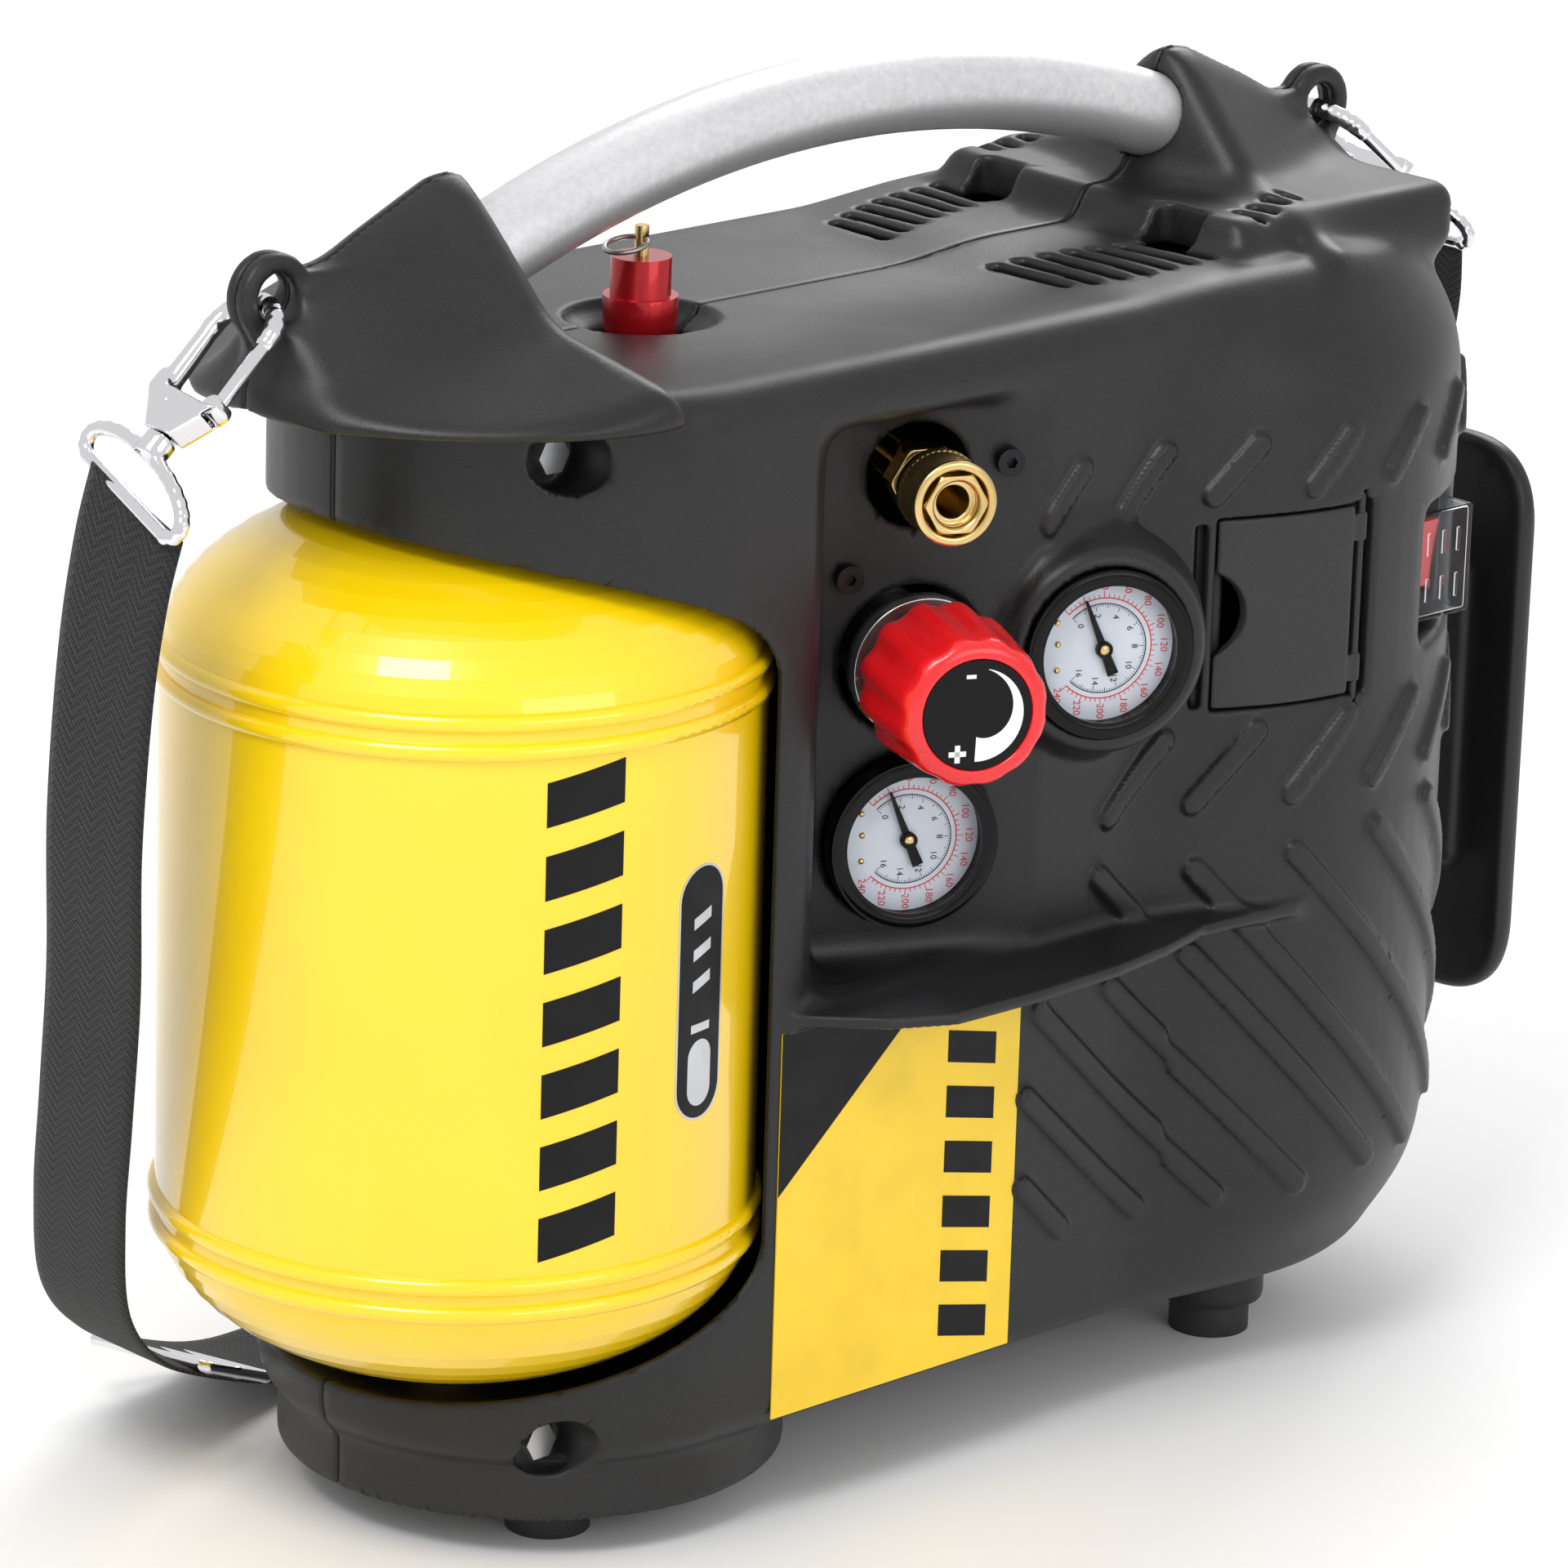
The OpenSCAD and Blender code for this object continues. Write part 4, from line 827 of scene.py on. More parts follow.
def make_knob():
    """Fluted regulator knob with round edges, in the panel's own axes."""
    back, front, flutes = 17, 55, 12
    g = Field((-26, -26, 14), (26, 26, 58), 0.5)
    rho = np.hypot(g.x, g.y)
    taper = 23.0 - np.clip((g.z - 27) / 28, 0, 1) * 2.0
    body = common(rho - taper, between(g.z, back, front), 5)
    for i in range(flutes):
        x, y = polar(25.3, 360 / flutes * i)
        body = cut(body, np.hypot(g.x - x, g.y - y) - 4.2, 2.2)
    body = cut(body, common(rho - 15.8, 52.4 - g.z), 0.8)
    body = cut(body, common(rho - 15, g.z - 24), 0.8)
    mesh = g.mesh("knob", body, 0.01, lambda p: on_panel(REGULATOR, p))
    add_piece("regulator_knob_grip", mesh, "red", "regulator_dial", ("regulator_knob",))


make_knob()


def flat_shape(outlines, at, out, thick):
    """Thin closed solids on the control panel from outlines of (along, up) points."""
    vertices, faces = [], []
    for outline in outlines:
        base, n = len(vertices), len(outline)
        vertices += [(x, y, out) for x, y in outline] + [(x, y, out + thick) for x, y in outline]
        faces.append([base + i for i in range(n)][::-1])
        faces.append([base + n + i for i in range(n)])
        faces += [[base + i, base + (i + 1) % n, base + n + (i + 1) % n, base + n + i] for i in range(n)]
    return on_panel(at, vertices), faces


def circle_points(r, x=0.0, y=0.0, start=0.0, end=360.0, steps=48):
    closed = abs(end - start) >= 360
    turns = [polar(r, start + (end - start) * i / steps) for i in range(steps if closed else steps + 1)]
    return [(x + u, y + v) for u, v in turns]


def bar(x, y, length, width, angle=0.0):
    c, s = math.cos(math.radians(angle)), math.sin(math.radians(angle))
    half_l, half_w = length / 2, width / 2
    corners = [(-half_l, -half_w), (half_l, -half_w), (half_l, half_w), (-half_l, half_w)]
    return [(x + c * u - s * v, y + s * u + c * v) for u, v in corners]


def crescent(r, wide, start, end, steps=40):
    """Arc that widens from a point at start to its full width at end."""
    angles = np.linspace(start, end, steps)
    outer = [polar(r, a) for a in angles]
    return outer + [polar(r - wide * t, a) for t, a in zip(np.linspace(1, 0.02, steps), angles[::-1])]


def make_knob_marks():
    """More-or-less mark on the knob: a white arc that widens towards the plus sign."""
    marks = [crescent(13.2, 7.0, 78, -92)]
    marks += [bar(-2.2, 11.0, 2.8, 1.1), bar(-5.5, -10.8, 5.0, 1.5), bar(-5.5, -10.8, 1.5, 5.0)]
    points, faces = flat_shape(marks, REGULATOR, 54.4, 0.12)
    add_piece("knob_marks", mesh_of("knob_marks", points, faces, False), "white_ink",
              "regulator_dial")


make_knob_marks()


def figures(label, height, at, where):
    """A number as a thin solid on a dial, its top away from the tank, as (points, faces)."""
    curve = bpy.data.curves.new("figures", "FONT")
    curve.body = label
    curve.size = height
    curve.align_x = "CENTER"
    curve.align_y = "CENTER"
    curve.extrude = INK_THICK / 2
    curve.resolution_u = 3
    text = bpy.data.objects.new("figures", curve)
    bpy.context.scene.collection.objects.link(text)
    bpy.context.view_layer.update()
    mesh = bpy.data.meshes.new_from_object(text.evaluated_get(bpy.context.evaluated_depsgraph_get()))
    flat = [(where[0] + v.co.y, where[1] - v.co.x, DIAL_OUT + INK_THICK / 2 + v.co.z) for v in mesh.vertices]
    faces = [list(p.vertices) for p in mesh.polygons]
    bpy.data.objects.remove(text)
    bpy.data.meshes.remove(mesh)
    return on_panel(at, flat), faces


def collect(parts):
    vertices, faces = [], []
    for points, polygons in parts:
        base = len(vertices)
        vertices += list(map(tuple, points))
        faces += [[base + i for i in f] for f in polygons]
    return vertices, faces


def scale_angle(part):
    return SCALE_START - SCALE_SWEEP * part


def scale_arc(r, band, steps, lengths, width):
    """A scale's arc with its marks, which stand inwards where lengths are negative.

    Each row of lengths is (every how many steps, how long), and the first row that fits a step counts.
    """
    marks = [arc_band(r, band, scale_angle(0), scale_angle(1))]
    for i in range(steps + 1):
        a = scale_angle(i / steps)
        length = next(long for every, long in lengths if i % every == 0)
        marks.append(bar(*polar(r + length / 2, a), abs(length), width, a))
    return marks


def scale_numbers(at, last, step, height, r):
    return [figures(str(number), height, at, polar(r, scale_angle(number / last)))
            for number in range(0, last + 1, step)]


def make_dial(name, at):
    """Printed dial: outer scale to 240 in red, inner scale to 16 in black, its gap towards the tank."""
    red = scale_arc(14.6, 0.35, 48, ((4, 2.0), (1, 1.1)), 0.22)
    black = scale_arc(13.0, 0.25, 80, ((10, -1.9), (5, -1.4), (1, -0.8)), 0.15)
    for colour, finish, marks, numbers in (("red", "red_ink", red, (240, 20, 3.0, 18.4)),
                                           ("black", "ink", black, (16, 2, 2.6, 9.6))):
        points, faces = collect([flat_shape(marks, at, DIAL_OUT, INK_THICK), *scale_numbers(at, *numbers)])
        add_piece(f"{name}_{colour}_scale", mesh_of(name, points, faces, False), finish)
    pins = [rounded_pin(at, *polar(r, a), 0.9) for r, a in ((16.0, 149), (13.5, 172), (14.5, 203))]
    lip = [polar(1.0, a) for a in range(-60, 241, 20)]
    rim = [(BEZEL_R - 2.1 + 2.2 * u, BEZEL_OUT - 1.0 + 1.1 * v) for u, v in lip]
    points, faces = lathe(at, rim[::-1])
    add_piece(f"{name}_bezel", mesh_of(name, points, faces), "black_gloss")
    points, faces = collect(pins)
    add_piece(f"{name}_pins", mesh_of(name, points, faces), "brass")


def arc_band(r, width, start, end, steps=72):
    angles = np.linspace(start, end, steps)
    return [polar(r + width / 2, a) for a in angles] + [polar(r - width / 2, a) for a in angles[::-1]]


def rounded_pin(at, x, y, r, base=0.7, rings=4, steps=16):
    """Domed rivet head standing on a dial."""
    dome, height = base + 0.3, 0.7 * r
    vertices = [(u, v, base) for u, v in circle_points(r, x, y, steps=steps)]
    for i in range(rings):
        a = math.pi / 2 * i / rings
        vertices += [(u, v, dome + height * math.sin(a))
                     for u, v in circle_points(r * math.cos(a), x, y, steps=steps)]
    vertices.append((x, y, dome + height))
    faces = [list(range(steps))[::-1]]
    for ring in range(rings):
        for i in range(steps):
            a, b = ring * steps + i, ring * steps + (i + 1) % steps
            faces.append([a, b, b + steps, a + steps])
    top = len(vertices) - 1
    faces += [[rings * steps + i, rings * steps + (i + 1) % steps, top] for i in range(steps)]
    return on_panel(at, vertices), faces


def lathe(at, profile, steps=96, ripple=None):
    """Closed solid turned about the panel's normal, from a closed profile of (radius, out).

    ripple(angle, index, out) adds to the radius.
    """
    vertices, faces = [], []
    n = len(profile)
    for i in range(steps):
        a = 2 * math.pi * i / steps
        for j, (r, out) in enumerate(profile):
            r += ripple(a, j, out) if ripple else 0.0
            vertices.append((r * math.cos(a), r * math.sin(a), out))
    for i in range(steps):
        for j in range(n):
            a, b = i * n + j, i * n + (j + 1) % n
            c, d = ((i + 1) % steps) * n + (j + 1) % n, ((i + 1) % steps) * n + j
            faces.append([a, d, c, b])
    return on_panel(at, vertices), faces


for dial_name, dial_at, pointer in (("outlet_dial", HIGH_GAUGE, "outlet_pointer"),
                                    ("tank_dial", LOW_GAUGE, "tank_pointer")):
    make_dial(dial_name, dial_at)
    hub_points, hub_faces = rounded_pin(dial_at, 0, 0, 1.9, 2.0, steps=32)
    add_piece(f"{dial_name}_hub", mesh_of(dial_name, hub_points, hub_faces), "brass", pointer)


def make_coupler():
    """Coupler's body: the hexagon at the panel, the barrel and the hexagonal nose with its stepped bore."""
    g = Field((-13, -13, -24), (13, 13, 34), 0.35)
    rho = np.hypot(g.x, g.y)

    def hexagon(across):
        turns = [math.radians(60 * i + 30) for i in range(3)]
        return np.maximum.reduce([np.abs(g.x * math.cos(t) + g.y * math.sin(t)) for t in turns]) - across / 2

    nut = common(hexagon(19), between(g.z, 0, 7.6))
    nut = common(nut, (rho - 10.2 + (g.z - 7.6)) * 0.7, 0.3)
    nose = common(hexagon(16.3), between(g.z, 24, 32))
    nose = common(nose, (rho - 8.6 + (g.z - 32)) * 0.7, 0.3)
    body = join(join(nut, common(rho - 8.6, between(g.z, 0, 27)), 0.4), nose)
    body = join(body, common(rho - 6, between(g.z, -24, 2)))
    bore = common(rho - 4.7, -18 - g.z)
    bore = join(bore, common(rho - 6.4 - np.maximum(g.z - 31, 0) * 0.7, 28.4 - g.z), 0.4)
    mesh = g.mesh("coupler", cut(body, bore, 0.3), 0.01, lambda p: on_panel(OUTLET, p))
    add_piece("coupler_barrel", mesh, "brass", replaces=("coupler_body",))


make_coupler()


def make_sleeve():
    """Coupler's release collar with a diamond knurl between two smooth lips."""
    low, back, high, r, bore = 12.0, 16.0, 31.0, 12.0, 9.45
    rows = 44
    lip = 0.5
    profile = [(bore, low), (r - 1.4, low), (r - 1, low + lip), (r - 1, back), (r - lip, back), (r, back + lip),
               (r, back + 1.6)]
    first = len(profile)
    profile += [(r - 0.35, z) for z in np.linspace(back + 2.1, high - 2.7, rows)]
    profile += [(r, high - 2.2), (r, high - lip), (r - lip, high), (bore + 0.4, high), (bore, high - 0.4)]

    def knurl(a, j, out):
        if not first < j < first + rows - 1:
            return 0.0
        around, climb = 22 * a, 3.6 * out
        return -0.3 * max(abs(math.sin(around + climb)), abs(math.sin(around - climb))) ** 3

    points, faces = lathe(OUTLET, profile, 264, knurl)
    add_piece("coupler_collar", mesh_of("collar", points, faces), "brass", "outlet_collar",
              ("coupler_sleeve",))


make_sleeve()

# ---------- printed graphics ----------


def wrapped(outlines, mapper, thick, cut_every=3.0):
    """Thin closed solids from flat outlines, bent by mapper(x, z, height) onto a surface."""
    bm = bmesh.new()
    for outline in outlines:
        bm.faces.new([bm.verts.new((x, 0.0, z)) for x, z in outline])
    xs = [v.co.x for v in bm.verts]
    for x in np.arange(min(xs) + cut_every, max(xs), cut_every):
        bmesh.ops.bisect_plane(bm, geom=bm.verts[:] + bm.edges[:] + bm.faces[:], plane_co=(x, 0, 0),
                               plane_no=(1, 0, 0))
    bmesh.ops.triangulate(bm, faces=bm.faces[:])
    bm.verts.ensure_lookup_table()
    flat = [(v.co.x, v.co.z) for v in bm.verts]
    lower = [mapper(x, z, 0.0) for x, z in flat]
    upper = [mapper(x, z, thick) for x, z in flat]
    n = len(flat)
    faces = []
    for f in bm.faces:
        ids = [v.index for v in f.verts]
        a, b, c = (np.array(upper[i]) for i in ids)
        outward = np.array(upper[ids[0]]) - np.array(lower[ids[0]])
        if np.dot(np.cross(b - a, c - a), outward) < 0:
            ids = ids[::-1]
        faces += [[n + i for i in ids], ids[::-1]]
        for edge in range(3):
            p, q = ids[edge], ids[(edge + 1) % 3]
            link = bm.edges.get((bm.verts[p], bm.verts[q]))
            if len(link.link_faces) == 1:
                faces.append([p, q, n + q, n + p])
    bm.free()
    return lower + upper, faces


def on_tank(centre_angle):
    """Mapper onto the tank's wall: x is the distance round it from centre_angle."""
    def place(x, z, height):
        a = math.radians(centre_angle) + x / TANK_R
        r = TANK_R + 0.04 + height
        return r * math.cos(a), r * math.sin(a), z
    return place


def on_side(x, z, height):
    return x, -SLAB_HALF_W - 0.42 - height, z


def pill(x, z, half_w, half_h, steps=16):
    top = circle_points(half_w, x, z + half_h - half_w, 0, 180, steps)
    low = circle_points(half_w, x, z - half_h + half_w, 180, 360, steps)
    return top + low


def slanted(x, z, w, h, lean):
    """Upright bar whose top and foot climb by lean across it."""
    left, right, foot, top = x - w / 2, x + w / 2, z - h / 2, z + h / 2
    return [(left, foot), (right, foot + lean), (right, top + lean), (left, top)]


def add_graphic(name, outlines, mapper, finish, thick=0.08):
    points, faces = wrapped(outlines, mapper, thick)
    add_piece(name, mesh_of(name, points, faces, False), finish)


def make_graphics():
    """Plain bands and pictograms where the makers of such machines print their names."""
    tank = on_tank(-108)
    bands = [slanted(0, 106 + 20.5 * i, 22.6, 12.5, 5) for i in range(7)]
    add_graphic("tank_bands", bands, tank, "ink")
    badge_x, badge_z = 41, 168
    add_graphic("badge_rim", [pill(badge_x, badge_z, 9.8, 36.6)], tank, "silver_film", 0.06)
    add_graphic("badge", [pill(badge_x, badge_z, 9.1, 35.9)], tank, "ink", 0.1)
    sign = [pill(badge_x, badge_z - 23, 5.0, 9.5), slanted(badge_x, badge_z - 10, 8, 2.4, 0)]
    sign += [slanted(badge_x, badge_z + 2 + 9 * i, 7.4, 3.2, 2.4) for i in range(3)]
    add_graphic("badge_sign", sign, tank, "silver_film", 0.14)
    (x0, _, z0), (x1, _, z1) = box_of("side_label")
    add_graphic("label_corner", [[(x0, z1), (x0, z1 - 48), (x0 + 55, z1)]], on_side, "ink")
    bands = [slanted(x1 - 19, z0 + 14 + 16.5 * i, 19, 9.5, -4.5) for i in range(6)]
    add_graphic("label_bands", bands, on_side, "ink")


make_graphics()

# ---------- switch cover ----------


def make_cover_ribs():
    """Raised bars on the switch's soft cover."""
    (x0, y0, z0), (x1, _, z1) = box_of("switch_cover")
    parts = []
    for row in range(2):
        for column in range(3):
            x = x0 + (x1 - x0) * (0.28 + 0.24 * column)
            z = z0 + (z1 - z0) * (0.28 + 0.42 * row)
            parts.append(wrapped([slanted(x, z, 1.3, 7.0, 0)], lambda x, z, h: (x, y0 - 0.02 - h, z), 0.5))
    points, faces = collect(parts)
    add_piece("cover_ribs", mesh_of("cover_ribs", points, faces, False), "clear")


make_cover_ribs()

# ---------- strap ----------

STRAP_WIDTH = 40.0
STRAP_THICK = 2.0
# x, y, z, then the degrees that the webbing's width is raised from level and turned about z.
STRAP_ROUTE = [
    (-115, 0, 309, 20, 0), (-118, 3, 290, 16, 0), (-119, 8, 260, 10, 0), (-117, 15, 215, 4, 0),
    (-110, 24, 170, 0, 0), (-103, 36, 128, 0, 0), (-94, 50, 92, 0, 0), (-80, 65, 58, 0, 0),
    (-56, 79, 34, 0, 0), (-25, 90, 18, 0, 0), (8, 101, 6, 0, 0), (45, 110, 2, 0, 0),
    (90, 115, 1.3, 0, 0), (150, 118, 1.3, 0, 0), (210, 118, 1.3, 0, 0), (270, 116, 1.3, 0, 0),
    (310, 113, 2, 0, 0), (340, 109, 9, 0, 4), (362, 105, 28, 0, 12), (378, 100, 60, 0, 22),
    (390, 93, 105, 0, 32), (399, 84, 155, 0, 40), (406, 70, 200, 0, 44), (407, 53, 235, 0, 42),
    (399, 28, 266, 0, 30), (387, 10, 290, 0, 12), (379, 0, 311, 0, 0)]


def smooth_route(route, per_span):
    """Catmull-Rom curve through the route's rows."""
    rows = np.array([route[0], *route, route[-1]], float)
    out = []
    for i in range(1, len(rows) - 2):
        a, b, c, d = rows[i - 1:i + 3]
        for t in np.linspace(0, 1, per_span, endpoint=False):
            out.append(0.5 * (2 * b + (c - a) * t + (2 * a - 5 * b + 4 * c - d) * t * t
                              + (3 * b - a - 3 * c + d) * t ** 3))
    return np.array([*out, rows[-2]])


def make_strap():
    """The webbing as one closed band with rounded edges."""
    rows = smooth_route(STRAP_ROUTE, 8)
    points, rise, turn = rows[:, :3], np.radians(rows[:, 3]), np.radians(rows[:, 4])
    side = np.stack([-np.sin(turn) * np.cos(rise), np.cos(turn) * np.cos(rise), np.sin(rise)], 1)
    along = np.gradient(points, axis=0)
    normal = np.cross(along, side)
    normal /= np.linalg.norm(normal, axis=1, keepdims=True)
    distance = np.concatenate([[0], np.cumsum(np.linalg.norm(np.diff(points, axis=0), axis=1))])
    columns = 12
    half, thick = STRAP_WIDTH / 2, STRAP_THICK / 2 - 0.1
    section = [(half * (2 * i / columns - 1), thick * (1 if 0 < i < columns else 0.45))
               for i in range(columns + 1)]
    section += [(u, -v) for u, v in section[::-1]]
    n = len(section)
    vertices = [p + u * s + v * m for p, s, m in zip(points, side, normal) for u, v in section]
    faces, uvs = [], []
    last = len(points) - 1
    for i in range(last):
        for j in range(n):
            k = (j + 1) % n
            faces.append([i * n + j, i * n + k, (i + 1) * n + k, (i + 1) * n + j])
            uvs += [(distance[r] * MM, section[c][0] * MM) for r, c in ((i, j), (i, k), (i + 1, k), (i + 1, j))]
    for row, order in ((0, range(n - 1, -1, -1)), (last, range(n))):
        faces.append([row * n + j for j in order])
        uvs += [(distance[row] * MM, section[j][0] * MM) for j in order]
    mesh = mesh_of("strap", vertices, faces)
    layer = mesh.uv_layers.new(name="webbing")
    layer.data.foreach_set("uv", np.array(uvs).ravel())
    if mesh_inside_out(mesh):
        mesh.flip_normals()
    piece = add_piece("carrying_strap", mesh, "webbing", replaces=("strap_webbing",))


def mesh_inside_out(mesh):
    bm = bmesh.new()
    bm.from_mesh(mesh)
    volume = bm.calc_volume(signed=True)
    bm.free()
    return volume < 0


make_strap()

# ---------- hooks and rings ----------

# Pairs are (tank end, motor end). The ends are distances below the bow's top, along the hook.
HOOK_TILTS = (47.0, 52.0)
RING_ROLLS = (20.0, 0.0)
RING_TILT = 20.0
HOOK_DROP = 2.5
BOW_R = 11.0
HOOK_WIRE_R = 2.6
SPINE_END = 34.0
BLOCK_END = 46.0
BARREL_END = 53.0
RING_HALF_W = 24.0
RING_WIRE_R = 2.0
SLIDER_AT = (-25, 90, 18.4)
SLIDER_WIRE_R = 1.75


def turned(points, axis, degrees):
    """Points turned about an axis of their frame."""
    c, s = math.cos(math.radians(degrees)), math.sin(math.radians(degrees))
    x, y, z = np.asarray(points, float).T
    if axis == "x":
        rows = (x, c * y - s * z, s * y + c * z)
    elif axis == "y":
        rows = (c * x + s * z, y, -s * x + c * z)
    else:
        rows = (c * x - s * y, s * x + c * y, z)
    return np.stack(rows, 1)


def hook_to_machine(points, far):
    """From a hook's own axes, +z towards its ear and +x towards its gate."""
    points = turned(turned(np.asarray(points, float) - [0, 0, HOOK_DROP], "z", -90), "y", HOOK_TILTS[far])
    points = points + [EAR[0], 0, EAR[1]]
    if far:
        points[:, 0] = 2 * MIRROR_X - points[:, 0]
    return points


def capsule(g, a, b, r, r_end=None):
    """Rod with round ends, of radius r throughout or going from r to r_end."""
    a, e = np.array(a, float), np.array(b, float) - np.array(a, float)
    w = (g.x - a[0], g.y - a[1], g.z - a[2])
    t = np.clip(sum(v * d for v, d in zip(w, e)) / (e @ e), 0, 1)
    distance = np.sqrt(sum((v - t * d) ** 2 for v, d in zip(w, e)))
    return distance - (r + t * ((r_end or r) - r))


def chain(g, points, r):
    """Round wire through points."""
    solid = capsule(g, points[0], points[1], r)
    for a, b in zip(points[1:], points[2:]):
        solid = join(solid, capsule(g, a, b, r), 0.6)
    return solid


def make_hook(side, far):
    """Forged snap hook: wire bow and spine that widen into the block with its rivet and eye."""
    g = Field((-16, -7, -48), (16, 7, 4), 0.5)
    arc = [polar(BOW_R, a) for a in np.linspace(0, 180, 13)]
    bow = chain(g, [(x, 0, z - BOW_R) for x, z in arc], HOOK_WIRE_R)
    spine = capsule(g, (-BOW_R, 0, -BOW_R), (-BOW_R, 0, -SPINE_END), HOOK_WIRE_R, HOOK_WIRE_R + 0.5)
    outline = [(-14.0, -SPINE_END), (-13.5, -SPINE_END + 6), (-8, -SPINE_END + 2), (8, -SPINE_END),
               (14, -SPINE_END), (5, -BLOCK_END), (-5, -BLOCK_END)]
    block_body = common(polygon(g.x, g.z, outline), np.abs(g.y) - 4.4, 2.2)
    slot = common(common(between(g.x, BOW_R - 3.4, 20), np.abs(g.y) - 3.2), -SPINE_END - 3.8 - g.z)
    block_body = cut(block_body, slot, 0.3)
    body = join(join(bow, spine, 1.0), block_body, 2.0)
    rivet = common(np.hypot(g.x + 5, g.z + SPINE_END + 3) - 2.2, np.abs(g.y) - 4.9, 0.8)
    body = join(body, rivet, 0.3)
    body = cut(body, common(np.hypot(g.x, g.y) - 2.05, between(g.z, -BLOCK_END - 2, -BLOCK_END + 8)))
    body = common(body, between(g.x, -14, 14))
    mesh = g.mesh("hook", body, 0.01, lambda p: hook_to_machine(p, far), bool(far))
    add_piece(f"snap_hook_{side}_forging", mesh, "chrome", f"hook_{side}", (f"snap_hook_{side}",))


def ring_points(far):
    """The ring's rounded path in its hook's axes."""
    drop, shoulder = 13.0, 9.0
    half = [(RING_HALF_W * math.sin(a), 0, shoulder * (math.cos(a) - 1))
            for a in np.linspace(0, math.pi / 2, 8)]
    half += [(RING_HALF_W - 0.8, 0, -drop + 1.6), (RING_HALF_W - 3.5, 0, -drop)]
    path = [(-x, y, z) for x, y, z in half[::-1]] + half[1:]
    path = turned(turned(turned(turned(path, "z", -90), "x", RING_ROLLS[far]), "y",
                         RING_TILT - HOOK_TILTS[far]), "z", 90)
    return path - [0, 0, BARREL_END - 1]


def make_rings():
    """Swivel studs with their rings, both sides in one piece as in the CAD."""
    parts = []
    for far in (0, 1):
        path = ring_points(far)
        low = np.minimum(path.min(0), (-6, -6, -BARREL_END - 2)) - 4
        high = np.maximum(path.max(0), (6, 6, -BLOCK_END + 8)) + 4
        g = Field(low, high, 0.5)
        ring = join(chain(g, path, RING_WIRE_R), capsule(g, path[-1], path[0], RING_WIRE_R), 0.6)
        rho = np.hypot(g.x, g.y)
        barrel = common(rho - 4.5, between(g.z, -BARREL_END, -BLOCK_END - 0.3), 1.0)
        stud = common(rho - 1.95, between(g.z, -BLOCK_END - 1, -BLOCK_END + 7))
        points, faces, _ = g.surface(join(join(ring, barrel, 2.0), stud), 0.01)
        faces = [f[::-1] for f in faces] if far else faces
        parts.append((hook_to_machine(points, far), faces))
    points, faces = collect(parts)
    mesh = mesh_of("rings", points, faces)
    add_piece("strap_ring_loops", mesh, "chrome", replaces=("strap_rings",))


def make_slider():
    """Three-bar slider the webbing is threaded through, lying on the strap."""
    g = Field((-17, -29, -3), (17, 29, 3), 0.5)
    half = [(-13, -23), (-11, -25), (11, -25), (13, -23)]
    corners = half + [(-x, -y) for x, y in half] + half[:1]
    loop = chain(g, [(x, y, 0) for x, y in corners], SLIDER_WIRE_R)
    body = join(loop, capsule(g, (0, -25, 0), (0, 25, 0), SLIDER_WIRE_R), 0.8)

    def onto_strap(points):
        return turned(turned(turned(points, "z", -19), "y", 22), "z", 19) + SLIDER_AT

    mesh = g.mesh("slider", body, 0.01, onto_strap)
    add_piece("strap_slider_frame", mesh, "chrome", replaces=("strap_slider",))


for hook_side, hook_far in (("left", 0), ("right", 1)):
    make_hook(hook_side, hook_far)
make_rings()
make_slider()

# ---------- CAD nodes ----------

dress("enamel", "tank_shell", "tank_top_dome", "tank_bottom_dome", "tank_bosses")
dress("tube", "handle_tube")
dress("film", "side_label")
dress("black_gloss", "gauge_cases", "knob_disc", "switch_body", edge=0.5)
dress("card", "gauge_dials")
dress("ink", "outlet_needle", "tank_needle")
dress("lens", "gauge_lenses")
dress("brass", "relief_valve_base", "relief_valve_pin", "check_valve", "drain_valve_body",
      "drain_knob", "manifold", edge=0.4)
dress("zinc", "regulator_body", "regulator_nut", "shell_bolts", "head_bolts", edge=0.4)
dress("anodised_red", "relief_valve_cap", edge=0.6)
dress("steel", "relief_ring")
dress("chrome", "hook_gate_left", "hook_gate_right", edge=0.3)
dress("rubber", "rubber_feet", "cord_gland", "piston_seal", edge=0.8)
dress("black_steel", "panel_screws", edge=0.3)
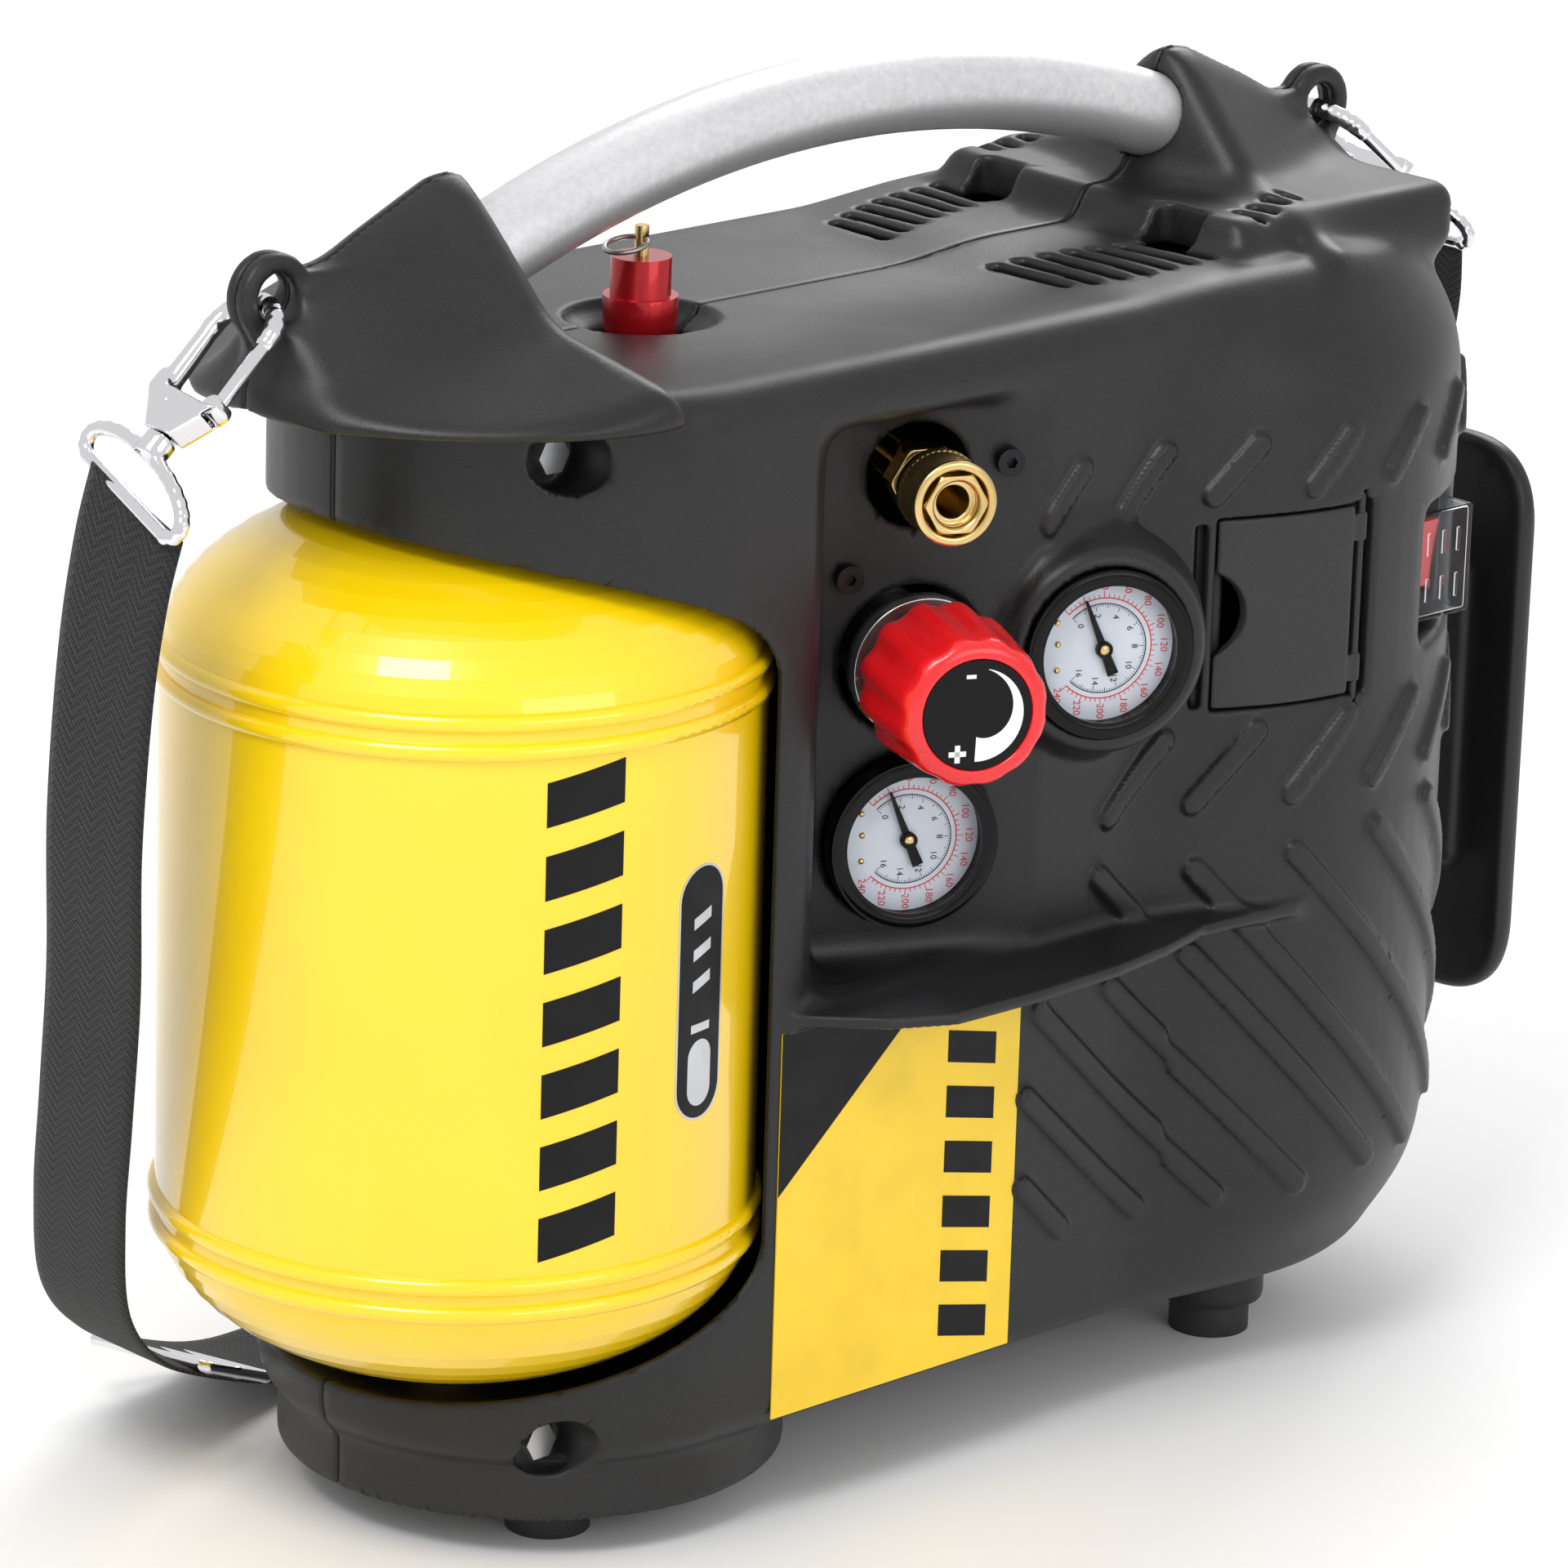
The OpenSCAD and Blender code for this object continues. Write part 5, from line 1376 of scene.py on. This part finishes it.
dress("rocker", "switch_rocker", edge=0.5)
dress("clear", "switch_cover", edge=0.8)
dress("steel", "motor_stator", "motor_rotor", "motor_bearings", "crank_disc", "valve_plate", edge=0.3)
dress("casting", "motor_end_bell", "crankcase", "pump_cylinder", "piston_rod", "cylinder_head", edge=0.5)
dress("plastic", "cooling_fan", "air_filter", "pressure_switch", edge=0.5)
dress("copper", "delivery_pipe")
dress("white_plastic", "capacitor", edge=1.0)

# ---------- floor and light ----------


FLOOR_GREY = 0.90
WORLD_LIGHT = 0.8


def make_stage():
    """A pale floor under the machine."""
    size = 6.0
    mesh = bpy.data.meshes.new("floor")
    corners = [(-size, -size, 0), (size, -size, 0), (size, size, 0), (-size, size, 0)]
    mesh.from_pydata(corners, [], [(0, 1, 2, 3)])
    finish = Finish("floor", (FLOOR_GREY,) * 3, 0.6)
    finish.vary_roughness(finish.noise(6, 3), 0.55, 0.65)
    mesh.materials.append(finish.material)
    floor = bpy.data.objects.new("floor", mesh)
    bpy.context.scene.collection.objects.link(floor)


def add_light(name, at, towards, size, power):
    data = bpy.data.lights.new(name, "AREA")
    data.shape = "RECTANGLE"
    data.size, data.size_y = size
    data.energy = power
    light = bpy.data.objects.new(name, data)
    light.location = at
    light.rotation_euler = (Vector(towards) - Vector(at)).to_track_quat("-Z", "Y").to_euler()
    bpy.context.scene.collection.objects.link(light)


def make_lights():
    centre = (0.0, 0.0, 0.2)
    add_light("key", (-1.3, -0.5, 1.9), centre, (0.8, 0.8), 22)
    add_light("front", (-0.2, -2.4, 1.1), centre, (1.6, 1.0), 10)
    add_light("rim", (1.5, 0.9, 1.5), centre, (1.0, 1.0), 16)
    world = bpy.data.worlds.new("studio")
    world.use_nodes = True
    background = world.node_tree.nodes["Background"]
    background.inputs["Color"].default_value = (1.0, 1.0, 1.0, 1.0)
    background.inputs["Strength"].default_value = WORLD_LIGHT
    bpy.context.scene.world = world
    bpy.context.scene.view_settings.view_transform = "Standard"


make_stage()
make_lights()
